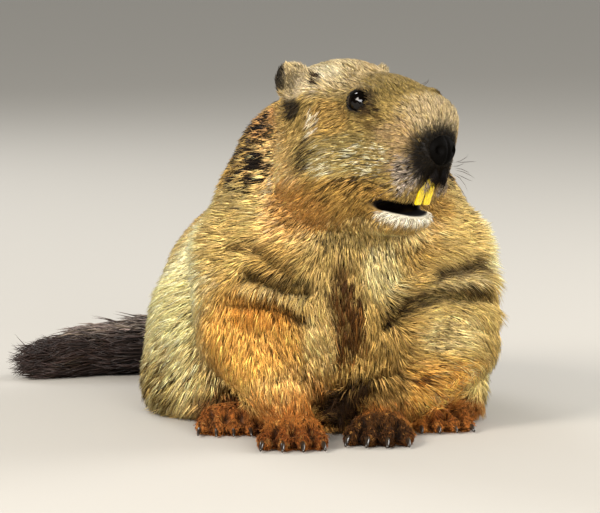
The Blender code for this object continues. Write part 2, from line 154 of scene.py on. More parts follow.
# %% [markdown]
# Colours are written as sRGB hex values, as a paint chart gives them, and shaders want linear
# light, so one function turns one into the other. Shader nodes are added by one small function.
# Every piece is made through one function too, which puts its finish on and ties it to the
# animal's body.

# %% Colours, nodes and new objects


def linear(colour):
    """Linear red, green and blue from an sRGB hex value."""
    parts = np.array([int(colour[at:at + 2], 16) / 255 for at in (1, 3, 5)])
    return np.where(parts <= 0.04045, parts / 12.92, ((parts + 0.055) / 1.055) ** 2.4)


def add_node(material, kind, values=None, links=None, **settings):
    """A shader node with its settings, the values of its sockets and the links that come in."""
    node = material.node_tree.nodes.new(kind)
    for name, value in settings.items():
        setattr(node, name, value)
    for socket, value in (values or {}).items():
        node.inputs[socket].default_value = value
    for socket, source in (links or {}).items():
        material.node_tree.links.new(source, node.inputs[socket])
    return node


def new_material(name, **values):
    """A material with one principled shader, and that shader."""
    material = bpy.data.materials.new(name)
    material.use_nodes = True
    shader = material.node_tree.nodes["Principled BSDF"]
    for socket, value in values.items():
        shader.inputs[socket.replace("_", " ")].default_value = value
    return material, shader


def rgba(colour):
    """A hex value as the four numbers of a colour socket."""
    return (*linear(colour), 1)


def new_object(name, mesh, material):
    """A piece at the origin, smooth, that moves with the animal's one body."""
    piece = placed(name, mesh)
    mesh.materials.clear()
    mesh.materials.append(material)
    mesh.shade_smooth()
    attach(piece, "root")
    return piece


def mesh_from(work, name):
    """The mesh of a bmesh that isn't needed any more."""
    mesh = bpy.data.meshes.new(name)
    work.to_mesh(mesh)
    work.free()
    return mesh


print("an olive tan is", [round(float(v), 3) for v in linear("#94804f")], "in linear light")

# %% [markdown]
# The animal stands on a plain pale floor in soft studio light: a broad key light from the upper
# left, a weaker one low in front, one on the right that rims the far side, one behind, and a pale
# room that fills the shadows. The last lamp is there for the spark that it leaves in the eye, and
# lights nothing that is matt.

# %% Floor and light
# in metres, as are the places of the lights
FLOOR_RADIUS = 16
work = bmesh.new()
bmesh.ops.create_circle(work, cap_ends=True, segments=96, radius=FLOOR_RADIUS)
floor_mesh = mesh_from(work, "studio_floor")
# matt wall paint: it gives the eye nothing but the animal's soft shadow
floor_paint, _ = new_material("matt_floor_paint", Base_Color=rgba("#aba8a2"), Roughness=0.9)
floor = placed("studio_floor", floor_mesh)
floor_mesh.materials.append(floor_paint)


def area_light(name, place, aim, size, power, colour):
    """A square soft box that looks at a point."""
    light = bpy.data.lights.new(name, "AREA")
    light.size = size
    light.energy = power
    light.color = linear(colour)
    lamp = placed(name, light)
    lamp.location = place
    lamp.rotation_mode = "QUATERNION"
    lamp.rotation_quaternion = (Vector(place) - Vector(aim)).to_track_quat("Z", "Y")
    return lamp


MIDDLE = (0, 0, 0.12)
area_light("key_light", (-1.75, -1.5, 1.5), MIDDLE, 1.0, 82, "#fff6ea")
front_light = area_light("front_light", (0.4, -2.2, 0.56), (0, 0, 0.1), 0.9, 44, "#fffaf2")
front_light.visible_glossy = False
area_light("rim_light", (1.7, 0.3, 1.0), MIDDLE, 0.9, 34, "#fbf8f4")
area_light("back_light", (-0.8, 1.9, 1.5), MIDDLE, 1.0, 26, "#ffffff")
eye_light = area_light("eye_light", (-0.75, -1.75, 1.05), (0, -0.1, 0.2), 0.7, 50, "#ffffff")
eye_light.visible_diffuse = False
room = bpy.data.worlds.new("pale_room")
room.use_nodes = True
room_light = room.node_tree.nodes["Background"].inputs
room_light["Color"].default_value = rgba("#f3f1ec")
room_light["Strength"].default_value = 0.8
room.cycles_visibility.glossy = False
bpy.context.scene.world = room
bpy.context.scene.view_settings.view_transform = "Standard"
print("floor and", len(bpy.data.lights), "lights")

# %% [markdown]
# The zones of the coat, its folds, its markings and the lie of its hair are long tables. Such a
# table could be a list of nested brackets, but plain text is easier to read and to change: each
# line is a row, commas part its cells, and spaces part the numbers in a cell. Two small functions
# turn the text into rows.

# %% Tables written as text


def cell_value(cell):
    """A cell's words as they stand, its one number as itself, or its numbers as a list."""
    if cell[0].isalpha() or cell[0] == "#":
        return cell
    numbers = [float(number) for number in cell.split()]
    return numbers if len(numbers) > 1 else numbers[0]


def rows(text):
    """The rows of a table: commas part its cells, and spaces part the numbers in a cell."""
    return [[cell_value(cell) for cell in line.split(", ")] for line in text.strip().splitlines()]


print("one row:", rows("ear, head sides, -36 2 11, #b19f79, 0.9"))

# %% [markdown]
# A coat differs from place to place. On a marmot it is a few millimetres of short hair on the
# muzzle and the toes, a centimetre on the cheeks and nearly two on the flanks. One table says, for
# soft ellipsoids over the animal, how deep the skin lies under the tips, how long, high and wide a
# tuft is and how close the tufts stand. Later lines lie over earlier ones, and "sides" means that
# a line holds for both sides of the animal. The same soft ellipsoids paint the markings further
# down.

# %% Soft ellipsoids and the table of the coat
SOFT_EDGE = 0.3


def closeness(places, centre, half_sizes, edge=SOFT_EDGE):
    """1 inside a soft ellipsoid and 0 outside it, for places in millimetres."""
    reach = np.linalg.norm((places - np.array(centre)) / np.array(half_sizes), axis=1)
    share = np.clip((1 + edge - reach) / (2 * edge), 0, 1)
    return share * share * (3 - 2 * share)


def folded(points, where):
    """Places in the frame that a table names; for sides, the left is folded onto the right."""
    places = in_head(points) if where.startswith("head") else in_body(points)
    if where.endswith("sides"):
        places[:, 0] = -np.abs(places[:, 0])
    return places


# name, where, centre and half sizes in mm; inset of the skin, rise, length and width of a tuft in
# mm, and tufts on a square millimetre
COAT_COLUMNS = ("inset", "rise", "length", "width", "density")
COAT_BASE = (6.5, 6.0, 18, 0.82, 0.92)
COAT = rows("""
neck, body, 0 -30 165, 72 62 40, 6.0 5.6 16 0.8 1.1
chest, body, 0 -96 95, 60 24 52, 5.5 5.0 14 0.75 1.3
arm, body sides, -60 -76 64, 38 32 46, 5.0 4.6 13 0.72 1.3
right wrist, body, -38 -94 22, 24 22 15, 3.5 4.0 12 0.75 1.5
left wrist, body, 24 -86 22, 24 22 15, 3.5 4.0 12 0.75 1.5
right forepaw, body, -38 -116 4, 30 34 16, 1.2 1.4 7 0.45 2.8
left forepaw, body, 12 -108 4, 30 34 16, 1.2 1.4 7 0.45 2.8
hind feet, body sides, -62 -50 5, 34 40 14, 1.2 1.4 7 0.45 2.4
head, head, 0 -30 -22, 62 66 62, 3.2 3.2 9.5 0.62 1.7
cheeks, head sides, -38 -20 -46, 24 34 30, 4.8 4.8 13 0.66 1.6
crown, head, 0 -10 20, 46 38 22, 2.8 2.8 8.5 0.6 1.8
face, head, 0 -70 -20, 36 32 42, 1.9 1.9 6 0.5 2.4
chin, head, 0 -54 -76, 27 25 10, 1.6 3.4 10 0.55 2.4
gape, head, 0 -63 -60, 30 26 11, 0.5 1.5 5 0.45 2.6
lips, head, 0 -78 -48, 24 16 15, 0.9 1.3 4.5 0.42 2.8
lip edges, head sides, -9 -80 -48, 5 8 8, 0.6 1.8 7.5 0.42 3.0
nose, head, 0 -87 -32, 16 9 13, 0.5 1.0 3.0 0.4 2.8
under the nose pad, head, 0 -89 -31, 9 8 8, 3.4 1.0 3.0 0.4 2.8
eyes, head sides, -28 -49 -3, 11 11 10, 1.1 1.3 3.4 0.42 2.8
ears, head sides, -36 2 11, 15 12 15, 0.7 1.4 5 0.5 2.2
ear hollows, head sides, -38 -5 9, 8 5 9, 0.8 0.6 2.6 0.35 2.4
tail, body, -96 204 18, 76 34 34, 0.0 9.0 34 1.4 0.85
""")


def coat_at(points):
    """The coat's columns at points in metres, each as one array."""
    found = np.tile(np.array(COAT_BASE, float), (len(points), 1))
    for _, where, centre, half_sizes, values in COAT:
        share = closeness(folded(points, where), centre, half_sizes)[:, None]
        found = found * (1 - share) + np.array(values) * share
    return dict(zip(COAT_COLUMNS, found.T))


print("coat zones:", len(COAT) + 1)

# %% [markdown]
# The skin is one closed mesh, so that no seam shows where a leg meets the trunk. It could be
# sculpted by hand; here the solids already have the right shape, so copies of them are merged,
# grown by half a millimetre to close the cuts between them, and wrapped in one voxel skin. The
# tail's locks are hair and not flesh, so the skin gets the tail's slim core in their place.

# %% One skin round the flesh
FLESH = ["head", "neck", "torso"] + [
    f"{part}_{side}"
    for part in ("ear", "foreleg", "forepaw", "hindleg", "hindfoot")
    for side in ("right", "left")
]
SEAM_CLOSING = 0.5
SKIN_VOXEL = 1.85
SKIN_SOFTENING = 4
# joints of the tail under its hair: place and radius in mm
TAIL_CORE = rows("""
-8 158 26, 12
-26 176 26, 10
-48 193 22, 9.5
-84 206 20, 9
-120 206 17, 8
-156 197 12, 5
""")


def add_tube(work, joints):
    """A ball at each joint and a tapered tube between each two, added to a bmesh."""
    for place, radius in joints:
        spot = Matrix.Translation(from_body(place))
        bmesh.ops.create_icosphere(work, subdivisions=3, radius=radius * MM, matrix=spot)
    for (start, start_radius), (end, end_radius) in zip(joints, joints[1:]):
        a = from_body(start)
        b = from_body(end)
        spin = (b - a).to_track_quat("Z", "Y").to_matrix().to_4x4()
        bmesh.ops.create_cone(
            work, cap_ends=True, segments=24, radius1=start_radius * MM, radius2=end_radius * MM,
            depth=(b - a).length, matrix=Matrix.Translation((a + b) / 2) @ spin,
        )


whole = bmesh.new()
for name in FLESH:
    copy = bmesh.new()
    copy.from_mesh(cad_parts[name].data)
    bmesh.ops.remove_doubles(copy, verts=copy.verts, dist=0.001 * MM)
    copy.normal_update()
    for vertex in copy.verts:
        vertex.co += vertex.normal * SEAM_CLOSING * MM
    grown = mesh_from(copy, "grown")
    whole.from_mesh(grown)
    bpy.data.meshes.remove(grown)
add_tube(whole, TAIL_CORE)
wrapped = placed("wrapped", mesh_from(whole, "wrapped"))
wrap = wrapped.modifiers.new("wrap", "REMESH")
wrap.mode = "VOXEL"
wrap.voxel_size = SKIN_VOXEL * MM
soften = wrapped.modifiers.new("soften", "SMOOTH")
soften.factor = 0.5
soften.iterations = SKIN_SOFTENING
graph = bpy.context.evaluated_depsgraph_get()
skin_mesh = bpy.data.meshes.new_from_object(wrapped.evaluated_get(graph))
bpy.data.objects.remove(wrapped)
print("skin faces:", len(skin_mesh.polygons))

# %% [markdown]
# The skin has to lie under the coat by the coat's depth, so each of its points moves inwards along
# its normal by the table's inset. Where a sitting marmot's loose skin meets its forelegs it lies
# in a few deep folds, a groove runs down the middle of the chest, and gaps part the toes. Each is
# a short line of named points, and a smooth groove is pressed along it.

# %% The lines of the folds
# name, depth and width in mm, colour, and the places of its line; the dark colours are partly
# the darker hair of the creases and partly painted shade in them
FOLDS = rows("""
right shoulder, 2.5, 3.0, #5c4522, -67 -66 111, -54 -78 112, -44 -85 105, -32 -93 99
right ridge, 0, 2.8, #e8d092, -62 -76 87, -46 -86 85, -31 -96 82, -23 -99 66
right armpit, 4.6, 4.8, #1f1409, -60 -75 96, -50 -83 93, -39 -91 90, -28 -97 90
right elbow, 3.0, 3.2, #5d3c16, -71 -73 82, -58 -77 82, -44 -87 79, -30 -96 73
right elbow dark, 1.5, 5.0, #3b250f, -50 -84 80, -38 -91 77, -30 -96 71
left shoulder, 2.2, 4.8, #4a3820, 50 -86 95, 70 -71 97, 90 -55 98
left arc, 1.5, 5.2, #1b1008, 20 -102 70, 30 -99 78, 45 -90 82
left armpit, 3.6, 4.8, #38270f, 20 -102 70, 30 -99 78, 47 -89 82, 67 -75 82, 88 -62 80
left forearm line, 1.2, 2.4, #5a3a18, 46 -87 31, 61 -80 34, 86 -62 41
breast, 2.4, 6.4, #5a3a1b, -6 -100 98, -6 -103 84, -4 -103 66, 0 -100 52
""")
# the toes of each paw: place on the floor, heading, how many, spacing, and how far back and forward
# the gaps between them reach
PAWS = rows("""
right forepaw, -36 -99, -6, 4, 9.6, -10 -32
left forepaw, 18 -90, -12, 4, 9.6, -10 -32
right hind foot, -64 -26, -4, 5, 8.3, -22 -44
left hind foot, 54 -29, 0, 5, 8.3, -22 -44
""")
TOE_SPLAY = 1.15
KNUCKLES = 6
GAP_HEIGHTS = (10, 7, 1)
GAP_DEPTH = 3.2
GAP_WIDTH = 1.7
# painted shade in the gaps between the toes, where little light reaches
GAP_SHADE_COLOUR = "#120b07"
for name, place, heading, count, spacing, (start, end) in PAWS:
    turn = Matrix.Rotation(math.radians(heading), 3, "Z")
    for gap in range(1, int(count)):
        offset = (gap - count / 2) * spacing
        spots = ((offset, start), (offset * TOE_SPLAY, end + KNUCKLES), (offset * TOE_SPLAY, end))
        line = [
            tuple(turn @ Vector((*spot, 0)) + Vector((*place, height)))
            for spot, height in zip(spots, GAP_HEIGHTS)
        ]
        FOLDS.append([f"{name} gap {gap}", GAP_DEPTH, GAP_WIDTH, GAP_SHADE_COLOUR, *line])
print("folds:", len(FOLDS))

# %% [markdown]
# To press the folds in, the script has to know how far each point of the skin is from each line,
# and to read and move all points at once. It could move them one by one, but arrays do the same
# for fifty thousand points in a moment. A little smoothing afterwards takes the steps out of the
# grooves.

# %% Press the skin in
FOLD_LIP = 0.4
LIP_DISTANCE = 2.2
FOLD_SOFTENING = 2
LEAST_HEIGHT = 0.3


def line_distance(places, line):
    """The least distance in millimetres from each place to a line of points."""
    least = np.full(len(places), 1e9)
    for start, end in zip(line, line[1:]):
        start = np.array(start, float)
        along = np.array(end, float) - start
        share = np.clip((places - start) @ along / (along @ along), 0, 1)
        least = np.minimum(least, np.linalg.norm(places - start - share[:, None] * along, axis=1))
    return least


def read_rows(items, name, width=3):
    """One property of all items of a collection, as rows of numbers."""
    values = np.zeros(len(items) * width)
    items.foreach_get(name, values)
    return values.reshape(-1, width)


def get_points(mesh):
    """All points of a mesh as rows."""
    return read_rows(mesh.vertices, "co")


def get_normals(mesh):
    """The normals at all points of a mesh as rows."""
    return read_rows(mesh.vertex_normals, "vector")


def set_points(mesh, points):
    """Moves the points of a mesh to the rows given."""
    mesh.vertices.foreach_set("co", points.astype(np.float32).ravel())
    mesh.update()


def smoothed(mesh, passes):
    """A bmesh of a mesh whose points are drawn halfway to their neighbours, again and again."""
    work = bmesh.new()
    work.from_mesh(mesh)
    for _ in range(passes):
        bmesh.ops.smooth_vert(
            work, verts=work.verts, factor=0.5, use_axis_x=True, use_axis_y=True, use_axis_z=True
        )
    return work


skin_points = get_points(skin_mesh)
places = in_body(skin_points)
press = np.zeros(len(places))
for _, depth, width, _, *line in FOLDS:
    away = line_distance(places, line) / width
    press += depth * (np.exp(-away ** 2) - FOLD_LIP * np.exp(-(away - LIP_DISTANCE) ** 2))
sinking = coat_at(skin_points)["inset"] + press
set_points(skin_mesh, skin_points - get_normals(skin_mesh) * sinking[:, None] * MM)
work = smoothed(skin_mesh, FOLD_SOFTENING)
work.to_mesh(skin_mesh)
work.free()
skin_points = get_points(skin_mesh)
skin_points[:, 2] = np.maximum(skin_points[:, 2], LEAST_HEIGHT * MM)
set_points(skin_mesh, skin_points)
print("the deepest fold in mm:", round(float(press.max()), 1))

# %% [markdown]
# Little light reaches the bottom of a fold, and hair lies flatter and darker there, so the skin
# and the tufts are darkened there as painted shade. A copy of the skin that is smoothed until its
# hollows have filled tells how deep in a hollow each point lies.

# %% Where the skin is hollow
HOLLOW_PASSES = 13
# painted shade: how much darker the skin and the tufts get at the bottom of a hollow
HOLLOW_SHADE = 0.55
work = smoothed(skin_mesh, HOLLOW_PASSES)
filled = np.array([vertex.co for vertex in work.verts])
work.free()
hollowness = np.clip(((filled - skin_points) * get_normals(skin_mesh)).sum(1) / MM, 0, 1)
print("hollow points:", int((hollowness > 0.5).sum()))

# %% [markdown]
# The markings follow the picture, and the species on the back and the far side. The head is olive
# tan with a paler bridge, pale streaked cheeks, a white stripe before the ear, a black spot below
# it and a dark muzzle, painted near black round the nose pad as shade too. The neck is orange tan
# behind a band of black streaks, the flanks are pale yellow, the forearms orange and the toes
# rusty. A few marks are painted light: shade under and between the forelegs and in the groove of
# the chest, and a paler top of the tail that is partly painted highlight. The markings could be
# painted on an image, but then the coat would need one too. Soft ellipsoids of colour serve the
# skin and every tuft alike. The last number of a line says how streaky a mark is: 0 is an even
# tint, and at 1 each small clump of hair either takes the colour or doesn't.

# %% The markings
GROUND_COLOUR = "#bf9c58"
# name, where, centre and half sizes in mm, colour, strength, and how streaky it is
# painted shade: the paw shadow, the shadow between the wrists, the left paw's shade and the breast
# groove's shade darken where little light falls, under and between the forelegs
# the nose fur is dark fur, painted near black round the nose pad as shade too
# the tail top is a paler top of the tail, partly its hair and partly painted highlight where light
# falls from above
MARKS = rows("""
back, body, 0 70 150, 62 110 44, #a5885a, 0.8, 0.5
back streaks, body, 0 60 160, 60 100 40, #43331f, 0.35, 1.0
saddle streaks, body, 0 100 120, 88 110 66, #4a3822, 0.2, 1.0
flank wide, body sides, -90 24 76, 46 96 66, #dcc184, 0.75, 0.8
rump back, body, 0 170 60, 90 50 60, #a8844c, 0.8, 0.4
belly, body, 0 40 0, 90 130 24, #b98442, 0.8, 0.3
flank, body sides, -92 6 98, 36 62 48, #fdf0b8, 0.95, 0.5
flank low, body sides, -106 10 60, 24 48 30, #faeba8, 0.9, 0.5
rump, body sides, -104 26 24, 36 56 28, #fbe8aa, 0.9, 0.4
rump streaks, body sides, -104 24 26, 34 54 28, #9a7a42, 0.22, 1.0
rump edge, body sides, -110 16 14, 20 62 22, #a78f50, 0.65, 0.7
rump edge streaks, body sides, -110 16 16, 22 62 24, #54411f, 0.34, 1.0
neck side, body sides, -46 -78 150, 28 36 32, #ffd48e, 0.9, 0.3
neck pale streaks, body sides, -50 -76 150, 26 32 30, #f3e2b8, 0.33, 1.0
nape, body, 0 -10 180, 44 40 26, #97794a, 0.8, 0.5
nape streaks, body, 0 -8 176, 58 50 32, #2f2419, 0.42, 1.0
neck edge, body sides, -50 -50 184, 12 24 12, #bf8e58, 0.8, 0.4
neck cream, body sides, -66 -50 132, 20 30 20, #c6ae70, 0.9, 0.3
neck streaks, body sides, -56 -42 166, 20 34 29, #1f1711, 0.55, 1.0
shoulder, body sides, -72 -60 112, 22 26 20, #dbbc74, 0.8, 0.4
throat, body, 6 -92 122, 48 24 16, #ffdf98, 0.97, 0.35
chest, body, 0 -98 96, 40 16 30, #b59a5d, 0.9, 0.5
chest pale, body, 18 -98 98, 13 10 17, #dccb92, 0.75, 0.5
breast dark, body, -4 -100 68, 12 18 24, #2e1a0b, 0.62, 1.0
breast orange, body, -3 -102 62, 13 14 26, #9a6a32, 0.35, 1.0
right arm, body, -58 -80 58, 31 32 28, #eeb45c, 0.95, 0.2
right arm top, body, -52 -84 72, 24 14 8, #d08f3c, 0.7, 0.5
right arm edge, body, -20 -98 54, 10 12 28, #e2c17c, 0.85, 0.5
right wrist, body, -34 -92 26, 26 24 16, #e9bb70, 0.85, 0.3
wrist blend, body, -10 -98 21, 62 22 11, #cc8c44, 0.65, 0.6
left arm, body, 70 -70 76, 38 32 36, #ccb06c, 0.95, 0.3
left arm dark, body, 74 -74 90, 30 16 7, #c4ad76, 0.6, 0.6
armpit pale, body, 74 -70 90, 22 14 5, #dcc48c, 0.6, 0.5
left arm pale, body, 62 -82 60, 26 12 12, #ecd292, 0.7, 0.4
left forearm, body, 58 -76 22, 34 30 24, #f0b95f, 0.92, 0.4
left forearm orange, body, 62 -78 21, 34 30 24, #cc842a, 0.38, 1.0
left forearm pale, body, 66 -76 28, 26 20 24, #f5d692, 0.3, 1.0
left forearm dark, body, 52 -84 26, 28 18 22, #5b3818, 0.24, 1.0
left haunch, body, 86 -40 26, 18 28 32, #dcc47e, 0.85, 0.5
left wrist, body, 24 -84 26, 15 18 18, #967640, 0.8, 0.5
forepaws, body, -10 -106 8, 80 34 15, #975b24, 0.85, 0.5
toes, body, -10 -126 3, 80 22 13, #763e16, 0.8, 0.5
left paw dark, body, 12 -112 8, 25 24 14, #38230f, 0.8, 0.55
hind feet, body sides, -62 -50 5, 36 42 14, #955624, 0.88, 0.4
paw shadow, body, -6 -80 16, 13 18 15, #24170e, 0.9, 0.3
between wrists, body, 2 -92 27, 11 16 11, #2c1d10, 0.7, 0.8
tail, body, -100 200 16, 124 48 44, #2c1f1b, 1.0, 0.1
tail top, body, -96 204 40, 90 30 15, #776a62, 0.75, 0.8
head, head, 0 -34 -16, 58 62 58, #a28a50, 1.0, 0.2
crown, head, 0 -24 16, 42 40 20, #b19d75, 0.85, 0.4
crown right, head, -18 -6 12, 20 24 20, #c6b68d, 0.8, 0.5
crown streaks, head, 0 -34 14, 42 46 20, #7d6b44, 0.35, 1.0
forehead, head, 0 -50 5, 27 24 17, #786533, 0.8, 0.4
bridge, head, 0 -78 -12, 24 18 15, #b5a27c, 0.9, 0.5
muzzle side, head sides, -22 -68 -28, 12 16 16, #a98f66, 0.8, 0.6
cheek, head sides, -40 -40 -34, 25 33 15, #a08d58, 0.85, 0.4
cheek streaks, head sides, -38 -42 -36, 24 30 14, #e6dcb6, 0.34, 1.0
jaw, head sides, -34 -34 -60, 26 34 15, #b38d49, 0.9, 0.4
jaw back, head sides, -36 -4 -64, 26 28 18, #c99650, 0.8, 0.4
jaw streaks, head sides, -34 -44 -54, 20 26 10, #4f3c1a, 0.3, 1.0
temple, head sides, -38 -28 -12, 12 15 12, #ab8a4c, 0.8, 0.4
eye patch, head sides, -31 -58 -12, 9 9 8, #5c4824, 0.7, 0.6
eye ring, head sides, -28 -49 -3, 9.5 11 9, #20140c, 0.9, 0.3
eye corner, head sides, -25 -57 -9, 6 5 5, #1c110a, 0.85, 0.5
ear front stripe, head sides, -35 -13 5, 4 6 9, #d9ccb0, 0.45, 0.8
ear cream, head sides, -22 -11 15, 8 12 8, #dccfac, 0.7, 0.5
ear low stripe, head sides, -43 -19 -14, 5 5 10, #e0d6be, 0.65, 0.8
ear spot, head sides, -41 0 -6, 9 9 8, #221c17, 0.9, 0.5
cheek back streak, head sides, -47 -20 -34, 6.5 6.5 11, #33271a, 0.62, 0.9
ear, head sides, -36 1 12, 14 11 13, #b19f79, 0.9, 0.4
ear hollow, head sides, -36 -5 8, 6 6 8, #d6c4a0, 0.7, 0.6
ear specks, head sides, -29 -9 11, 4 5 9, #3a2c1e, 0.6, 1.0
ear back, head sides, -46 8 14, 9 7 12, #15100c, 0.94, 0.4
lip, head sides, -18 -75 -48, 10 11 15, #bbac9a, 0.78, 0.8
lip streaks, head sides, -18 -74 -50, 10 12 12, #2a2018, 0.3, 1.0
nose fur, head, 0 -85 -35, 23.5 18 20, #0a0604, 0.98, 0.3
philtrum, head, 0 -80 -52, 6 14 10, #150d09, 0.95, 0.2
chin, head, 0 -62 -69, 26 17 7, #f1e9d2, 0.92, 0.6
""")
print("marks:", len(MARKS))

# %% [markdown]
# Each mark is laid over what lies below it, as a glaze is. Where a mark is streaky, a tuft takes
# its colour only if a random number, which it mostly shares with its clump, is lower than the
# mark's share there, and that gives whole strokes of one colour. The folds are marks too, painted
# along their lines: their dark colours are partly darker hair and partly painted shade in the
# creases and between the toes.

# %% Colours at any points
MARK_BLUR = 0.1
# the dark colours of the folds are partly darker hair and partly painted shade in the creases
FOLD_STRENGTH = 0.93
FOLD_STREAKS = 0.35
FOLD_BLUR = 0.2
# painted shade: the inside of the mouth is painted nearly black
MOUTH_SHADE_COLOUR = "#080303"
MOUTH_PLACE = (0, -60, -58.5)
MOUTH_HALF = (25, 25, 5)
MOUTH_EDGE = 0.12
MOUTH_DROP = 5.5


def laid_over(found, colour, share, streaks, streaky, blur):
    """Colours with one mark over them, even or, where it is streaky, clump by clump."""
    taken = np.clip((share - streaks) / blur + 0.5, 0, 1)
    share = (share * (1 - streaky) + taken * streaky)[:, None]
    return found * (1 - share) + linear(colour) * share


def colours_at(points, streaks):
    """Linear colours at points; streaks is a random number from 0 to 1 for each clump of hair."""
    found = np.tile(linear(GROUND_COLOUR), (len(points), 1))
    for _, where, centre, half_sizes, colour, strength, streaky in MARKS:
        share = closeness(folded(points, where), centre, half_sizes) * strength
        found = laid_over(found, colour, share, streaks, streaky, MARK_BLUR)
    places = in_body(points)
    # painted along the fold lines: shade in the creases, partly darker hair
    for _, _, width, colour, *line in FOLDS:
        share = np.exp(-(line_distance(places, line) / width) ** 2) * FOLD_STRENGTH
        found = laid_over(found, colour, share, streaks, FOLD_STREAKS, FOLD_BLUR)
    return found


def in_mouth(points):
    """How far points lie inside the gape, which hangs lower at its middle."""
    places = in_head(points)
    places[:, 2] += MOUTH_DROP * (1 - (places[:, 0] / MOUTH_HALF[0]) ** 2).clip(0)
    return closeness(places, MOUTH_PLACE, MOUTH_HALF, MOUTH_EDGE)


print("the ground colour and the first mark:", GROUND_COLOUR, MARKS[0][4])

# %% [markdown]
# Now the skin gets its colours, one for each point, kept in an attribute that its finish reads.
# Between the tufts of a real marmot one sees dense, dull underwool, so the skin is painted as the
# coat over it, but darker, for the underwool and as painted shade deep in the coat. The inside of
# the mouth is painted nearly black, as painted shade in the gape.

# %% The skin's colours and finish
# the skin is darker than the coat: its underwool, and painted shade deep in the coat
SKIN_SHADE = 0.6


def paint_coat(mesh, colours):
    """Keeps a linear colour for each point on the mesh, where its finish reads it."""
    paint = mesh.attributes.new("coat", "FLOAT_COLOR", "POINT")
    painted = np.hstack([colours.reshape(-1, 3), np.ones((len(mesh.vertices), 1))])
    paint.data.foreach_set("color", painted.astype(np.float32).ravel())


def coat_finish(name, **values):
    """A finish that takes its colour from the points of its piece."""
    material, shader = new_material(name, **values)
    tint = add_node(material, "ShaderNodeAttribute", attribute_name="coat")
    material.node_tree.links.new(tint.outputs["Color"], shader.inputs["Base Color"])
    return material


skin_points = get_points(skin_mesh)
skin_colours = colours_at(skin_points, np.full(len(skin_points), 0.5)) * SKIN_SHADE
# painted shade: the skin is darker the deeper it lies in a hollow
skin_colours *= 1 - HOLLOW_SHADE * hollowness[:, None]
# painted shade in the gape: the inside of the mouth is nearly black
mouth_shade = in_mouth(skin_points)[:, None]
skin_colours = skin_colours * (1 - mouth_shade) + linear(MOUTH_SHADE_COLOUR) * mouth_shade
paint_coat(skin_mesh, skin_colours)

# skin with its dense underwool: dull, and darker than the coat for the underwool and as painted
# shade deep in the coat, it fills the gaps between the tufts
skin_finish = coat_finish("skin_under_fur", Roughness=0.75, Specular_IOR_Level=0.25)
skin = new_object("skin", skin_mesh, skin_finish)
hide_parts(*FLESH, "tail")
print("skin points painted:", len(skin_points))

# %% [markdown]
# Hair lies from the nose backwards, down the throat and the legs, and along the back to the tail.
# On the near foreleg it parts and sweeps outwards. A combing table holds arrows: a place and the
# way the hair lies there, after the picture where it shows and as on any marmot where it doesn't.
# Between arrows the direction is a weighted mean, laid flat on the skin.

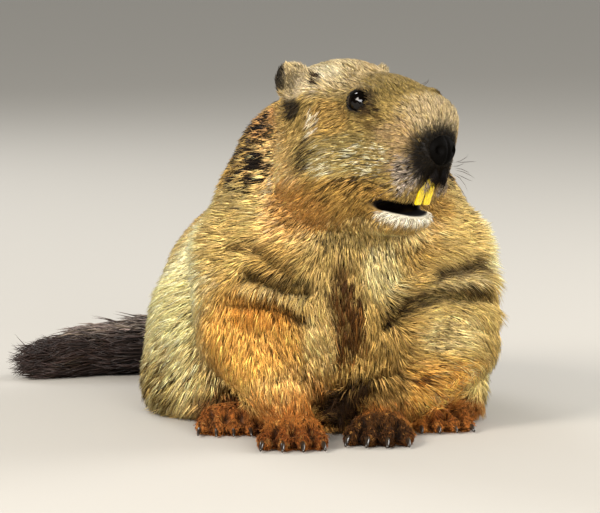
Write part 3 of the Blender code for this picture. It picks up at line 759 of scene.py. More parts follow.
# %% The combing table
# where, how far it reaches in mm, its place, and the way the hair lies
COMB = rows("""
head sides, 13, -13 -77 -11, -0.20 0.78 0.59
head sides, 13, -17 -53 7, 0.06 0.95 0.29
head sides, 16, -21 -24 13, 0.12 0.96 0.26
head sides, 16, -14 14 18, 0.05 0.95 -0.20
head sides, 11, -11 -84 -22, -0.10 0.37 0.93
head sides, 12, -26 -66 -19, -0.44 0.86 0.24
head sides, 12, -24 -72 -39, -0.34 0.92 0.10
head sides, 14, -31 -51 -33, -0.60 0.78 -0.09
head sides, 14, -43 -38 -35, -0.30 0.81 -0.51
head sides, 14, -32 -42 -62, -0.10 0.91 -0.42
head sides, 12, -34 -37 -10, -0.41 0.83 -0.38
head sides, 12, -39 -17 -7, -0.35 0.30 -0.94
head sides, 12, -44 -18 -21, -0.20 0.60 -0.80
head sides, 10, -21 -77 -48, -0.20 0.86 -0.45
head sides, 6, -8 -83 -47, 0.35 0.05 -0.93
head sides, 10, -12 -67 -67, -0.15 0.80 -0.60
head sides, 10, -20 -79 -36, -0.57 0.79 -0.23
head sides, 14, -49 -19 -47, -0.05 0.80 -0.60
head sides, 14, -38 27 -23, 0.20 0.95 -0.13
head sides, 9, -37 4 12, -0.40 0.15 0.90
body sides, 22, -49 -62 174, -0.30 0.93 -0.21
body sides, 20, -39 -89 141, -0.63 0.60 -0.50
body sides, 22, -57 -65 139, -0.59 0.79 -0.30
body sides, 22, -73 -57 121, -0.40 0.85 -0.30
body sides, 34, -86 4 84, -0.35 0.60 -0.72
body sides, 26, -98 0 61, -0.28 0.62 -0.74
body sides, 26, -93 -9 40, -0.22 0.60 -0.77
body sides, 34, -100 60 50, 0.10 0.88 -0.47
body sides, 34, -70 140 60, 0.40 0.60 -0.70
body, 34, 0 0 170, 0 0.97 -0.25
body, 34, 0 60 150, 0 0.90 -0.40
body, 34, 0 120 110, 0 0.75 -0.65
body, 34, -5 175 60, -0.05 0.30 -0.95
body, 34, 0 60 0, 0 1.0 0
body sides, 18, -5 -96 118, -0.03 -0.22 -0.98
body sides, 16, -13 -97 106, -0.19 -0.18 -0.96
body, 16, -30 -90 117, -0.77 0.22 -0.61
body, 18, -2 -103 62, 0 0 -1.0
body, 18, -64 -78 70, -0.14 -0.18 -0.97
body, 16, -42 -88 65, 0.22 -0.17 -0.96
body, 14, -25 -98 66, 0.45 0.05 -0.89
body sides, 20, -86 -48 70, -0.10 0.40 -0.92
body, 14, -38 -92 30, 0 -0.50 -0.85
body, 12, 38 -88 30, 0.64 0.31 -0.70
body, 12, 40 -88 38, 0.96 0.28 -0.10
body, 14, 56 -82 54, 0.95 0.19 -0.25
body, 14, 40 -92 64, 0.82 0.50 -0.10
body, 16, 34 -96 88, 0.80 0.51 0.05
body, 18, 50 -84 110, 0.79 0.50 -0.35
body, 16, 28 -93 111, 0.15 -0.15 -0.98
body, 14, 18 -100 57, -0.10 0.20 -0.95
body, 12, 28 -86 22, 0.10 -0.60 -0.80
body, 18, -36 -110 14, 0 -1.0 -0.15
body, 18, 18 -106 14, 0 -1.0 -0.15
body sides, 22, -62 -40 12, 0 -1.0 0
body, 16, -30 184 24, -0.80 0.60 0
body, 20, -60 200 20, -0.95 0.30 0
body, 20, -100 207 20, -1.0 0 0
body, 20, -145 202 14, -0.96 -0.25 -0.05
""")
print("rows in the combing table:", len(COMB))

# %% [markdown]
# The arrows for both sides are doubled, and the head's are turned with the head. An arrow counts
# fully close by and hardly at all beyond its reach, so the hair turns smoothly from one to the
# next.

# %% The lie of the hair
COMB_FALL = 3.5
comb = []
for where, reach, place, way in COMB:
    for side in (1, -1) if where.endswith("sides") else (1,):
        spot = mirrored(place, side)
        turned = mirrored(way, side).normalized()
        if where.startswith("head"):
            spot = head_turn @ spot + HEAD_PLACE
            turned = head_turn @ turned
        comb.append((*spot, *turned, reach))
comb = np.array(comb)


def unit(ways):
    """Ways made 1 long."""
    return ways / np.maximum(np.linalg.norm(ways, axis=1), 1e-9)[:, None]


def laid_flat(ways, normals):
    """Ways less what stands along the normals."""
    return ways - normals * (ways * normals).sum(1)[:, None]


def lie_at(points, normals):
    """The unit direction in which hair lies at points of the skin."""
    places = in_body(points)
    found = np.zeros_like(places)
    for arrow in comb:
        near = ((places - arrow[:3]) ** 2).sum(1) / arrow[6] ** 2
        found += arrow[3:6] * ((1 + near) ** -COMB_FALL)[:, None]
    return unit(laid_flat(found, normals))


print("arrows in the comb:", len(comb))

# %% [markdown]
# Each tuft is a slim closed spindle: it starts at a point sunk in the skin, swells to a flat
# three-sided ring where it bends over, and tapers to its tip. A real hair is a tenth as wide, too
# fine to show, so a tuft stands for a lock of them and is as coarse as it needs to be. Tufts of
# one clump lean together towards its middle, which gives the coat its strokes. The arrays of all
# tufts go into one mesh, because thousands of small objects would be slow.

# %% Tufts as arrays
SUNK = 0.5
RING_ANGLES = np.radians([90, 210, 330])
RING_SIDES = (0.5, 0.0, 1.0)
FLATNESS = 0.6
SWING = 0.09
TIP_RISE = 0.95
TUFT_CLEARANCE = 0.1
PATCH = 0.003


def spindle_faces(rings):
    """The triangles of one tuft: its root, some rings of three points, and its tip."""
    last = 1 + 3 * rings
    faces = [(2, 1, 0), (3, 2, 0), (1, 3, 0)]
    for low in range(1, last - 3, 3):
        for a, b in ((0, 1), (1, 2), (2, 0)):
            faces += [(low + a, low + b, low + 3 + b), (low + a, low + 3 + b, low + 3 + a)]
    low = last - 3
    return np.array(faces + [(low, low + 1, last), (low + 1, low + 2, last), (low + 2, low, last)])


def joined_tufts(name, roots, normals, lies, sizes, colours, seats, bends, finish):
    """One mesh of closed tufts; bends are the shares of length, rise and width at each ring."""
    count = len(roots)
    across = np.cross(normals, lies)
    run = np.sqrt(np.maximum(sizes["length"] ** 2 - sizes["rise"] ** 2, 1)) * MM
    rise = sizes["rise"] * MM
    width = sizes["width"] * MM / 2
    pull = sizes["pull"]
    swing = chance.normal(0, SWING, count) * run
    rings = [roots - normals * SUNK * MM]
    shares = [0.0]
    sides = [0.5]
    for share, height, breadth in bends:
        middle = (
            roots
            + lies * (run * share)[:, None]
            + normals * (rise * height)[:, None]
            + across * (swing * share ** 2)[:, None]
            + pull * share
        )
        for angle, side in zip(RING_ANGLES, RING_SIDES):
            spoke = across * math.cos(angle) + normals * math.sin(angle) * FLATNESS
            rings.append(middle + spoke * (width * breadth)[:, None])
            shares.append(share)
            sides.append(side)
    tips = roots + lies * run[:, None] + normals * (rise * TIP_RISE)[:, None]
    rings.append(tips + across * swing[:, None] + pull)
    shares.append(1.0)
    sides.append(0.5)
    points = np.stack(rings, axis=1)
    points[:, :, 2] = np.maximum(points[:, :, 2], TUFT_CLEARANCE * MM)
    per_tuft = len(rings)
    faces = np.arange(count)[:, None, None] * per_tuft + spindle_faces(len(bends))
    faces = faces.reshape(-1, 3)

    mesh = bpy.data.meshes.new(name)
    mesh.vertices.add(count * per_tuft)
    mesh.loops.add(len(faces) * 3)
    mesh.polygons.add(len(faces))
    mesh.vertices.foreach_set("co", points.astype(np.float32).ravel())
    mesh.loops.foreach_set("vertex_index", faces.astype(np.int32).ravel())
    mesh.polygons.foreach_set("loop_start", np.arange(0, len(faces) * 3, 3, dtype=np.int32))

    shares = np.array(shares)
    light = sizes["root_shade"][:, None] * (1 - shares) + sizes["tip_shade"][:, None] * shares
    paint_coat(mesh, np.clip(colours[:, None, :] * light[:, :, None], 0, 1))

    spread = np.stack([np.array(sides) - 0.5, shares - 0.5], axis=1) * PATCH
    corners = (seats[:, None, :] + spread[None, :, :]).reshape(-1, 2)[faces.ravel()]
    layer = mesh.uv_layers.new(name="OFBake")
    layer.data.foreach_set("uv", np.clip(corners, 0, 1).astype(np.float32).ravel())
    mesh.update()
    new_object(name, mesh, finish)
    return len(faces)


print("a tuft's patch in the bake map:", PATCH)

# %% [markdown]
# Hair is keratin, clear and hard, under fine scales that break the light up. Blender has a shader
# for single hairs, but each of these tufts is a closed solid that stands for many, so a plain dull
# surface with a weak shine comes closer to how a coat looks.

# %% Two finishes of hair
# the coat's many tips scatter the light and give a soft broad shine
guard_hair = coat_finish("guard_hair", Roughness=0.7, Specular_IOR_Level=0.12)
# the tail's longer, coarser hair gleams more along its strokes
tail_hair = coat_finish("tail_hair", Roughness=0.55, Specular_IOR_Level=0.35)
print("finishes of hair:", guard_hair.name, tail_hair.name)

# %% [markdown]
# The coat is built region by region, so that no piece grows too heavy. Each face of the skin
# belongs to the solid that it lies nearest to.

# %% Faces of the skin and the parts they belong to
CORNERS = 4
quads = read_rows(skin_mesh.loops, "vertex_index", 1).astype(int).reshape(-1, CORNERS)
skin_normals = get_normals(skin_mesh)
face_points = skin_points[quads]
face_centres = face_points.mean(1)
diagonals = face_points[:, 2] - face_points[:, 0], face_points[:, 3] - face_points[:, 1]
face_areas = np.linalg.norm(np.cross(*diagonals), axis=1) / 2 / MM ** 2

REGION_NODES = FLESH + ["tail"]
solid_points = [get_points(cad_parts[name].data) for name in REGION_NODES]
owners = np.repeat(REGION_NODES, [len(points) for points in solid_points])


def nearest(points, targets):
    """For each point, the number of the target that is nearest to it."""
    tree = KDTree(len(targets))
    for number, target in enumerate(targets):
        tree.insert(target, number)
    tree.balance()
    return np.array([tree.find(point)[1] for point in points])


face_names = owners[nearest(face_centres, np.vstack(solid_points))]
print("skin area mm2:", round(float(face_areas.sum())))

# %% [markdown]
# The pieces of the coat follow the parts of the body, with a cut down the middle line, one behind
# the face and one before the rump. The cuts don't show, because the tufts of both sides lie over
# them.

# %% The pieces of the coat
MIDDLE_LINE = -2
FACE_LINE = -34
RUMP_LINE = 70
TAIL_RIGHT_OF = -30
TAIL_BEHIND = 184
face_in_body = in_body(face_centres)
face_in_head = in_head(face_centres)


def regions():
    """Faces of the skin by coat piece."""
    found = {}
    aside, behind, _ = face_in_body.T
    on_tail = (face_names == "tail") | ((aside < TAIL_RIGHT_OF) & (behind > TAIL_BEHIND))
    head = np.isin(face_names, ["head", "ear_right", "ear_left"])
    front = face_in_head[:, 1] <= FACE_LINE
    rump = behind >= RUMP_LINE
    for side in ("right", "left"):
        on_side = (aside < MIDDLE_LINE) == (side == "right")
        cheek = head & ((face_in_head[:, 0] < 0) == (side == "right"))
        trunk = (face_names == "torso") & on_side
        found[f"coat_head_{side}"] = cheek & ~front
        found[f"coat_face_{side}"] = cheek & front
        found[f"coat_neck_{side}"] = (face_names == "neck") & on_side
        found[f"coat_flank_{side}"] = trunk & ~rump
        found[f"coat_rump_{side}"] = trunk & rump
        found[f"coat_foreleg_{side}"] = np.isin(face_names, [f"foreleg_{side}", f"forepaw_{side}"])
        found[f"coat_hindleg_{side}"] = np.isin(face_names, [f"hindleg_{side}", f"hindfoot_{side}"])
    found = {name: np.nonzero(chosen & ~on_tail)[0] for name, chosen in found.items()}
    found["coat_tail"] = np.nonzero(on_tail)[0]
    return found


skin_regions = regions()
print("faces:", {name: len(faces) for name, faces in skin_regions.items()})

# %% [markdown]
# Each tuft needs a place in its piece's bake map. A patch of its own for each would waste the map,
# so a tuft takes a small patch at its root's place in a flat map of the skin, and neighbours share
# it.

# %% A flat map for each piece
UNWRAP_ANGLE = 66
UNWRAP_MARGIN = 0.004


def unwrapped(faces):
    """A flat map of some faces of the skin, as four corners for each face."""
    used, numbers = np.unique(quads[faces], return_inverse=True)
    mesh = bpy.data.meshes.new("region")
    mesh.from_pydata(skin_points[used].tolist(), [], numbers.reshape(-1, CORNERS).tolist())
    region = placed("region", mesh)
    bpy.context.view_layer.objects.active = region
    region.select_set(True)
    bpy.ops.object.mode_set(mode="EDIT")
    bpy.ops.mesh.select_all(action="SELECT")
    bpy.ops.uv.smart_project(angle_limit=math.radians(UNWRAP_ANGLE), island_margin=UNWRAP_MARGIN)
    bpy.ops.object.mode_set(mode="OBJECT")
    seats = read_rows(mesh.uv_layers.active.data, "uv", 2).reshape(-1, CORNERS, 2)
    bpy.data.objects.remove(region)
    bpy.data.meshes.remove(mesh)
    return seats


print("flat maps for", len(skin_regions), "pieces, with islands", UNWRAP_MARGIN, "apart")

# %% [markdown]
# Some places stay bare: the mouth, the nose pad, the eyeballs and the soles. Hair could be cut off
# there afterwards, but it is simpler never to plant it.

# %% Where no hair grows
GAPE_EDGE = 0.3
NOSE_CENTRE = (0, -87, -31)
NOSE_BARE = (8.6, 8, 7.8)
NOSE_EDGE = 0.05
EYE_BARE = 0.7
SOLE_HEIGHT = 0.8


def bare(points):
    """True at the gape, the nose pad, the eyeballs and the soles."""
    gape = in_mouth(points) > GAPE_EDGE
    pad = closeness(in_head(points), NOSE_CENTRE, NOSE_BARE, NOSE_EDGE) > 0.5
    eyeballs = np.zeros(len(points), bool)
    for eye in eyes:
        eyeballs |= np.linalg.norm(points - np.array(eye), axis=1) < (EYE_RADIUS + EYE_BARE) * MM
    return gape | pad | eyeballs | (points[:, 2] < SOLE_HEIGHT * MM)


print("bare skin points:", int(bare(skin_points).sum()))

# %% [markdown]
# Now the roots are planted. A grid of roots would show as rows, so chance decides how many a face
# of the skin gets, by its area and the table's density, and where on the face each one stands. The
# draws are seeded, so every run gives the same animal.

# %% Plant the roots
FULLNESS = 0.95
fullness = FULLNESS * 1


def planted(faces):
    """Roots on some faces: which face each is on, its corners, their weights, and its place."""
    expected = face_areas[faces] * coat_at(face_centres[faces])["density"] * fullness
    numbers = np.floor(expected + chance.random(len(faces))).astype(int)
    chosen = np.repeat(np.arange(len(faces)), numbers)
    u, v = chance.random((2, len(chosen)))
    weights = np.stack([(1 - u) * (1 - v), u * (1 - v), u * v, (1 - u) * v], axis=1)[:, :, None]
    corners = quads[faces][chosen]
    roots = (skin_points[corners] * weights).sum(1)
    kept = ~bare(roots)
    return chosen[kept], corners[kept], weights[kept], roots[kept]


print("the coat's fullness:", fullness)

# %% [markdown]
# No two locks of a real coat have quite the same colour. So chance gives each clump a tone that its
# tufts share, and each tuft a stronger one of its own. Whether a streaky mark takes hold is mostly
# the clump's draw. The colour is read off the markings where the tuft shows, which is nearer its
# tip than its root.

# %% Colour the tufts
CLUMP_STREAKS = 0.75
CLUMP_TONE = 0.16
TUFT_TONE = 0.29
TONE_LIMITS = (0.4, 1.9)
BLUE_CHANCE = 0.08
RED_CHANCE = 0.03


def tuft_colours(shown, clump, clumps, shade):
    """A linear colour for each tuft, from where it shows, the number of its clump and its shade."""
    count = len(shown)
    streaks = chance.random(clumps)[clump] * CLUMP_STREAKS
    streaks += chance.random(count) * (1 - CLUMP_STREAKS)
    colours = colours_at(shown, streaks)
    tone = chance.normal(0, CLUMP_TONE, clumps)[clump] + chance.normal(0, TUFT_TONE, count)
    colours *= (np.clip(np.exp(tone), *TONE_LIMITS) * shade)[:, None]
    colours[:, 2] *= chance.normal(1, BLUE_CHANCE, count)
    colours[:, 0] *= chance.normal(1, RED_CHANCE, count)
    return colours


print("a clump's share of a tuft's streak number:", CLUMP_STREAKS)

# %% [markdown]
# Then the coat grows, piece by piece. Each tuft gets its length and its rise from the table and
# from chance, and joins the clump whose leader stands nearest. The clump as a whole strays a little
# from the comb, and the tips of its tufts draw together.

# %% Grow the coat
LENGTH_CHANCE = (0.72, 1.15)
LEAST_LENGTH = 1.5
RISE_CHANCE = (0.45, 1.05)
STEEPEST = 0.8
CLUMP_SHARE = 0.13
CLUMP_STRAY = 0.12
STRAY = 0.10
CLUMP_LEAN = 0.42
COLOUR_READ_AT = 0.6
WIDTH_CHANCE = (0.75, 1.25)
ROOT_SHADE = 0.66
TIP_SHADE = 1.15
SHADE_CHANCE = (0.88, 1.12)
# share of the length, of the rise and of the width at each ring of a tuft
SHORT_BENDS = [(0.42, 0.72, 1.0)]
LONG_BENDS = [(0.28, 0.75, 1.0), (0.66, 1.05, 0.75)]
COAT_SLOTS = {
    "head": "coat_head", "face": "coat_head",
    "foreleg": "coat_legs", "hindleg": "coat_legs", "tail": "coat_tail",
}


def grow(name, faces, bends, finish, slot):
    """Grows one piece of the coat on some faces of the skin and tells its triangles."""
    chosen, corners, weights, roots = planted(faces)
    normals = unit((skin_normals[corners] * weights).sum(1))
    seats = (unwrapped(faces)[chosen] * weights).sum(1)
    count = len(roots)

    coat = coat_at(roots)
    lies = lie_at(roots, normals)
    length = np.maximum(coat["length"] * chance.uniform(*LENGTH_CHANCE, count), LEAST_LENGTH)
    rise = np.minimum(coat["rise"] * chance.uniform(*RISE_CHANCE, count), length * STEEPEST)

    leaders = chance.choice(count, max(2, int(count * CLUMP_SHARE)), replace=False)
    clump = nearest(roots, roots[leaders])
    stray = chance.normal(0, CLUMP_STRAY, len(leaders))[clump] + chance.normal(0, STRAY, count)
    lies = unit(lies + np.cross(normals, lies) * stray[:, None])
    tips = roots + lies * (length * MM)[:, None]
    pull = laid_flat((tips[leaders][clump] - tips) * CLUMP_LEAN, normals)

    shown = roots + lies * (length * COLOUR_READ_AT * MM)[:, None] + normals * (rise * MM)[:, None]
    # painted shade: a tuft rooted in a hollow is darker
    shade = 1 - HOLLOW_SHADE * (hollowness[corners][:, :, None] * weights).sum(1)[:, 0]
    colours = tuft_colours(shown, clump, len(leaders), shade)
    sizes = {
        "length": length,
        "rise": rise,
        "width": coat["width"] * chance.uniform(*WIDTH_CHANCE, count),
        "pull": pull,
        "root_shade": np.full(count, ROOT_SHADE),
        "tip_shade": TIP_SHADE * chance.uniform(*SHADE_CHANCE, count),
    }
    return joined_tufts(name, roots, normals, lies, sizes, colours, seats, bends, finish)


coat_triangles = {}
for name, faces in skin_regions.items():
    part = name.split("_")[1]
    kind = (LONG_BENDS, tail_hair) if part == "tail" else (SHORT_BENDS, guard_hair)
    coat_triangles[name] = grow(name, faces, *kind, COAT_SLOTS.get(part, "coat_body"))
print("coat triangles:", sum(coat_triangles.values()), coat_triangles)

# %% [markdown]
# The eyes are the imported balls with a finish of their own. A marmot's iris is so dark that the
# whole eye reads as black, with one sharp highlight, because a film of tears lies over the cornea.
# An iris and a clear cornea could be made apart, but they wouldn't show, so the ball gets one
# nearly black finish, as smooth as water.

# %% Eyes


def refinish(names, material, smooth):
    """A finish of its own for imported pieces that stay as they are."""
    for name in names:
        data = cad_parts[name].data
        data.materials.clear()
        data.materials.append(material)
        if smooth:
            data.shade_smooth()


# a wet cornea over a black iris: the eye reads as a dark bead with one sharp spark
wet_eye, _ = new_material(
    "wet_black_eye", Base_Color=rgba("#070504"), Roughness=0.03, IOR=1.45, Specular_IOR_Level=0.3
)
refinish(("eye_right", "eye_left"), wet_eye, smooth=True)
print("eyes at", [[round(v / MM) for v in eye] for eye in eyes])

# %% [markdown]
# The lids are a ring of bare skin round each eye, finely wrinkled. A torus would be quite round,
# but an eye's opening is a little longer than it is high, so a small circle is spun round the eye's
# axis and the ring is stretched.

# %% Eyelids
LID_RING = 6.6
LID_THICKNESS = 0.9
LID_LENGTH = 1.14
LID_PLACE = 0.42
LID_GRAIN = 0.6
head_frame = Matrix.Translation(head_origin) @ head_turn.to_4x4() @ Matrix.Scale(MM, 4)


def turned_solid(work, steps, merge):
    """Spins the profile in a bmesh once round the Z axis and closes it."""
    bmesh.ops.spin(
        work, geom=work.verts[:] + work.edges[:], axis=(0, 0, 1), cent=(0, 0, 0), angle=2 * math.pi,
        steps=steps, use_merge=True,
    )
    bmesh.ops.remove_doubles(work, verts=work.verts, dist=merge)


# a dull black rim that sets off the wet eye
lid_skin, shader = new_material(
    "bare_eyelid", Base_Color=rgba("#0a0705"), Roughness=0.65, Specular_IOR_Level=0.12
)
spots = add_node(lid_skin, "ShaderNodeTexCoord")
wrinkles = add_node(
    lid_skin, "ShaderNodeTexNoise", {"Scale": 1 / (LID_GRAIN * MM), "Detail": 3.0},
    {"Vector": spots.outputs["Object"]},
)
relief = add_node(
    lid_skin, "ShaderNodeBump", {"Strength": 0.3, "Distance": 0.2 * MM},
    {"Height": wrinkles.outputs["Fac"]},
)
lid_skin.node_tree.links.new(relief.outputs["Normal"], shader.inputs["Normal"])
for side, sign in (("right", -1), ("left", 1)):
    look = mirrored(EYE_LOOK, sign).normalized()
    rim = mirrored(EYE_PLACE, sign) + look * EYE_RADIUS * LID_PLACE
    spin = look.to_track_quat("Z", "X").to_matrix().to_4x4()
    work = bmesh.new()
    bmesh.ops.create_circle(work, segments=12, radius=LID_THICKNESS)
    bmesh.ops.rotate(work, verts=work.verts, matrix=Matrix.Rotation(math.pi / 2, 3, "X"))
    bmesh.ops.translate(work, verts=work.verts, vec=(LID_RING, 0, 0))
    turned_solid(work, steps=48, merge=0.01)
    bmesh.ops.recalc_face_normals(work, faces=work.faces)
    stretch = Matrix.Diagonal((1, LID_LENGTH, 1, 1))
    work.transform(head_frame @ Matrix.Translation(rim) @ spin @ stretch)
    new_object(f"eyelids_{side}", mesh_from(work, f"eyelids_{side}"), lid_skin)
print("inner height of the ring in mm:", 2 * (LID_RING - LID_THICKNESS))

# %% [markdown]
# The nose pad is bare black leather, finely pebbled and hardly moist, with a round nostril on each
# side and a groove down its middle. It starts as an icosphere, and each of its points is pushed in
# where a nostril or the groove lies.

# %% Nose pad
PAD_PLACE = (0, -84.8, -31)
PAD_HALF = (9.8, 6.6, 8.8)
# across and up
NOSTRIL_PLACE = (5.4, -31)
NOSTRIL_HALF = (2.8, 3.4)
NOSTRIL_DEPTH = 2.6
NOSTRIL_STEEPNESS = 1.6
PAD_GROOVE = 0.8
GROOVE_WIDTH = 0.9
PAD_TAPER = 0.18
PEBBLE = 0.9
# bare leather, pebbled and hardly moist: it gives the eye a deep black with no clear highlight
nose_leather, shader = new_material(
    "nose_leather", Base_Color=rgba("#040302"), Roughness=0.7, Specular_IOR_Level=0.04
)
spots = add_node(nose_leather, "ShaderNodeTexCoord")
pebbles = add_node(
    nose_leather, "ShaderNodeTexVoronoi", {"Scale": 1 / (PEBBLE * MM)},
    {"Vector": spots.outputs["Object"]},
)
relief = add_node(
    nose_leather, "ShaderNodeBump", {"Strength": 0.5, "Distance": 0.3 * MM},
    {"Height": pebbles.outputs["Distance"]}, invert=True,
)
nose_leather.node_tree.links.new(relief.outputs["Normal"], shader.inputs["Normal"])
work = bmesh.new()
bmesh.ops.create_icosphere(work, subdivisions=5, radius=1)
for vertex in work.verts:
    direction = vertex.co.copy()
    place = Vector(PAD_PLACE) + Vector((direction[i] * PAD_HALF[i] for i in range(3)))
    place.x *= 1 - PAD_TAPER * max(0, (PAD_PLACE[2] - place.z) / PAD_HALF[2])
    if place.y < PAD_PLACE[1]:
        aside = (abs(place.x) - NOSTRIL_PLACE[0]) / NOSTRIL_HALF[0]
        hole = math.hypot(aside, (place.z - NOSTRIL_PLACE[1]) / NOSTRIL_HALF[1])
        place.y += NOSTRIL_DEPTH * max(0, 1 - hole ** 2) ** NOSTRIL_STEEPNESS
        place.y += PAD_GROOVE * math.exp(-(place.x / GROOVE_WIDTH) ** 2)
    vertex.co = place
work.transform(head_frame)
bmesh.ops.recalc_face_normals(work, faces=work.faces)
new_object("nose_pad", mesh_from(work, "nose_pad"), nose_leather)
print("nose pad mm:", [2 * size for size in PAD_HALF])

# %% [markdown]
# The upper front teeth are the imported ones. Marmot enamel is hard and orange to bright yellow, with
# lengthways lines, paler at the cutting edge. The real lines are finer than these, which are as
# coarse as they need to be to show.

# %% Teeth
ENAMEL_LINES = (0.7, 0.7, 9)


def lengthways_lines(material, shader, line_sizes, detail, colours, places):
    """A two-tone grain that runs along a tooth or a claw; line_sizes are in millimetres."""
    spots = add_node(material, "ShaderNodeTexCoord")
    scale = [1 / (size * MM) for size in line_sizes]
    drawn_out = add_node(
        material, "ShaderNodeMapping", {"Scale": scale}, {"Vector": spots.outputs["Object"]}
    )
    lines = add_node(
        material, "ShaderNodeTexNoise", {"Scale": 1.0, "Detail": detail},
        {"Vector": drawn_out.outputs["Vector"]},
    )
    tint = add_node(material, "ShaderNodeValToRGB", None, {"Fac": lines.outputs["Fac"]})
    for stop, colour, place in zip(tint.color_ramp.elements, colours, places):
        stop.position = place
        stop.color = rgba(colour)
    material.node_tree.links.new(tint.outputs["Color"], shader.inputs["Base Color"])
    return lines.outputs["Fac"]


# polished enamel: it gives the eye a clear yellow with small bright highlights
enamel, shader = new_material("yellow_enamel", Roughness=0.22, IOR=1.62, Coat_Weight=0.3)
lengthways_lines(
    enamel, shader, ENAMEL_LINES, detail=3.0, colours=("#b08c06", "#efd414"), places=(0.3, 0.62)
)
refinish(("incisor_right", "incisor_left"), enamel, smooth=False)
print("lines in the enamel, width and length in mm:", ENAMEL_LINES[1:])

# %% [markdown]
# The claws are black horn, strong and blunt, for digging, and horn grows in fine lines along the
# claw. They could be ridges in the mesh, but they are too fine for that, so a pattern in the finish
# tints the horn and gives it relief. The pattern is as coarse as it needs to be to show.

# %% The claws' horn
HORN_LINES = (0.8, 7, 0.8)
# smooth dense horn: nearly black, with a soft line of light along its back
claw_horn, shader = new_material("dark_horn", Roughness=0.3, IOR=1.54, Coat_Weight=0.2)
growth = lengthways_lines(
    claw_horn, shader, HORN_LINES, detail=4.0, colours=("#0d0b0a", "#3a2f26"), places=(0.35, 0.75)
)
relief = add_node(
    claw_horn, "ShaderNodeBump", {"Strength": 0.25, "Distance": 0.15 * MM}, {"Height": growth}
)
claw_horn.node_tree.links.new(relief.outputs["Normal"], shader.inputs["Normal"])
print("lines in the horn, width and length in mm:", HORN_LINES[:2])

# %% [markdown]
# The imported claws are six-sided, so a finer one takes each one's place between the same two ends. A
# cone would do for the taper, but it is straight and sharp. Here a blunt profile is spun round its
# axis and then arched, so that the claw's back is round and its tip points down.

# %% Claws
CLAW_SIDES = 14
CLAW_RINGS = 9
CLAW_ARCH = 0.12
CLAW_HIDDEN = 1.18
CLAW_BLUNTNESS = 2.2
CLAW_NARROWING = 0.8
CLAW_CLEARANCE = 0.05
CLAW_REAR = 0.72


def claw_ends(name, paw_middle):
    """Root and tip of an imported claw, and its thickness at the root."""
    points = get_points(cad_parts[name].data)
    away = np.linalg.norm(points - np.array(paw_middle), axis=1)
    tip = points[away.argmax()]
    far = np.linalg.norm(points - tip, axis=1)
    rear = points[far > CLAW_REAR * far.max()]
    root = rear.mean(0)
    thickness = np.linalg.norm(rear - root, axis=1).max()
    return Vector(root), Vector(tip), thickness


def add_claw(work, root, tip, thickness):
    """A bent tapering horn from root to tip: a profile spun round its axis, added to a bmesh."""
    axis = tip - root
    length = axis.length * CLAW_HIDDEN
    horn = bmesh.new()
    profile = [horn.verts.new((0, 0, 0))]
    for ring in range(CLAW_RINGS + 1):
        share = ring / CLAW_RINGS
        radius = thickness * (1 - share ** CLAW_BLUNTNESS) ** 0.5
        profile.append(horn.verts.new((radius, 0, share * length)))
    for low, high in zip(profile, profile[1:]):
        horn.edges.new((low, high))
    turned_solid(horn, steps=CLAW_SIDES, merge=0.01 * MM)
    turn = axis.to_track_quat("Z", "Y")
    start = tip - axis.normalized() * length
    for vertex in horn.verts:
        share = vertex.co.z / length
        bent = turn @ Vector((vertex.co.x * CLAW_NARROWING, vertex.co.y, vertex.co.z))
        bent.z += CLAW_ARCH * length * math.sin(math.pi * share)
        vertex.co = start + bent
        vertex.co.z = max(vertex.co.z, CLAW_CLEARANCE * MM)
    done = mesh_from(horn, "horn")
    work.from_mesh(done)
    bpy.data.meshes.remove(done)


for paw, foot, count in (
    ("fore_right", "forepaw_right", 4), ("fore_left", "forepaw_left", 4),
    ("hind_right", "hindfoot_right", 5), ("hind_left", "hindfoot_left", 5),
):
    middle = sum(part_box(foot), Vector()) / 2
    work = bmesh.new()
    names = [f"claw_{paw}_{number}" for number in range(1, count + 1)]
    for name in names:
        add_claw(work, *claw_ends(name, middle))
    bmesh.ops.recalc_face_normals(work, faces=work.faces)
    claws = new_object(f"claws_{paw}", mesh_from(work, f"claws_{paw}"), claw_horn)
    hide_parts(*names)
    print("claws:", claws.name, count)

# %% [markdown]
# Whiskers stand in rows on the upper lip and a few over the eye. They are stiff, dark and tapered,
# and sweep back along the cheek. Each is a long tuft, so the same arrays make them.

# %% Whiskers
# place of the root, the way it points, and its length in mm
WHISKERS = rows("""
-17 -80 -38, -0.80 0.45 0.05, 34
-19 -77 -42, -0.82 0.50 -0.10, 38
-21 -74 -38, -0.80 0.60 0.10, 40
-22 -72 -44, -0.80 0.58 -0.22, 38
-16 -80 -44, -0.75 0.45 -0.25, 30
-19 -76 -49, -0.72 0.50 -0.42, 30
-23 -70 -40, -0.78 0.62 0.00, 42
-14 -82 -41, -0.70 0.42 -0.05, 26
-24 -44 8, -0.75 0.60 0.30, 13
-27 -40 7, -0.80 0.58 0.20, 15
""")
WHISKER_COLOUR = "#2b211a"


def even_sizes(lengths, rise, width, root_shade, tip_shade):
    """Sizes of hairs that differ only in their lengths and lean to no clump."""
    sizes = {"rise": rise, "width": width, "root_shade": root_shade, "tip_shade": tip_shade}
    sizes = {name: np.full(len(lengths), float(size)) for name, size in sizes.items()}
    return {**sizes, "length": np.array(lengths, float), "pull": np.zeros((len(lengths), 3))}


roots = []
ways = []
lengths = []
for place, way, length in WHISKERS:
    for sign in (1, -1):
        roots.append(head_origin + head_turn @ mirrored(place, sign) * MM)
        ways.append((head_turn @ mirrored(way, sign)).normalized())
        lengths.append(length)
ways = np.array(ways)
count = len(roots)
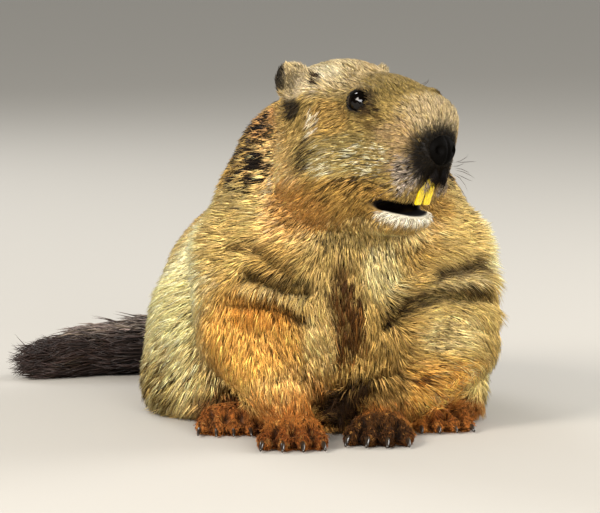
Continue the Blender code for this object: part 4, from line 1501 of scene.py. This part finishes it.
# stiff smooth hair: dark lines with a fine glint
whisker_finish = coat_finish("whisker", Roughness=0.35, Specular_IOR_Level=0.5)
joined_tufts(
    "whiskers", np.array(roots), unit(np.cross(ways, (0, 0, 1))), ways,
    even_sizes(lengths, rise=3, width=0.42, root_shade=1, tip_shade=1.6),
    np.tile(linear(WHISKER_COLOUR), (count, 1)),
    chance.random((count, 2)), LONG_BENDS, whisker_finish,
)
print("whiskers:", count)

# %% [markdown]
# The upper lip is split, and a fringe of stiff short hair hangs from the edges of the split over
# the roots of the teeth. It starts under the nose pad, where it is black, and gets paler down the
# edges.

# %% The fringe over the teeth
FRINGE_EDGE = [(3.0, -84.5, -41), (6.5, -83.5, -45), (9.5, -80.5, -51)]
FRINGE_ENDS = [(0.8, -81.5, -50), (3.4, -80.5, -53), (7.0, -77.5, -57.5)]
FRINGE_COLOURS = ("#0a0605", "#150e0a", "#8d7d6a")
FRINGE_KNOTS = (0, 0.5, 1)
FRINGE_COUNT = 70
ROOT_SPREAD = 0.5
END_SPREAD = 0.8
FRINGE_TONES = (0.6, 1.5)


def along(table, shares):
    """Rows of a table of three, blended by shares from 0 to 1."""
    columns = np.array(table, float).T
    return np.stack([np.interp(shares, FRINGE_KNOTS, column) for column in columns], axis=1)


def both_sides(places):
    """Places in the head's frame with their mirror images after them."""
    return np.vstack([places, places * (-1, 1, 1)])


shares = chance.random(FRINGE_COUNT)
roots = both_sides(along(FRINGE_EDGE, shares) + chance.normal(0, ROOT_SPREAD, (FRINGE_COUNT, 3)))
ends = both_sides(along(FRINGE_ENDS, shares) + chance.normal(0, END_SPREAD, (FRINGE_COUNT, 3)))
count = len(roots)
tones = np.tile(along([linear(colour) for colour in FRINGE_COLOURS], shares), (2, 1))
tones *= chance.uniform(*FRINGE_TONES, (count, 1))
lengths = np.linalg.norm(ends - roots, axis=1)
ways = ((ends - roots) / lengths[:, None]) @ HEAD_AXES.T
front = laid_flat(np.tile(HEAD_AXES @ np.array((0, -1.0, 0)), (count, 1)), ways)
joined_tufts(
    "lip_fringe", roots @ HEAD_AXES.T * MM + np.array(head_origin), front, ways,
    even_sizes(lengths, rise=1.2, width=0.6, root_shade=0.8, tip_shade=1), tones,
    chance.random((count, 2)), SHORT_BENDS, guard_hair,
)
print("hairs in the fringe:", count)
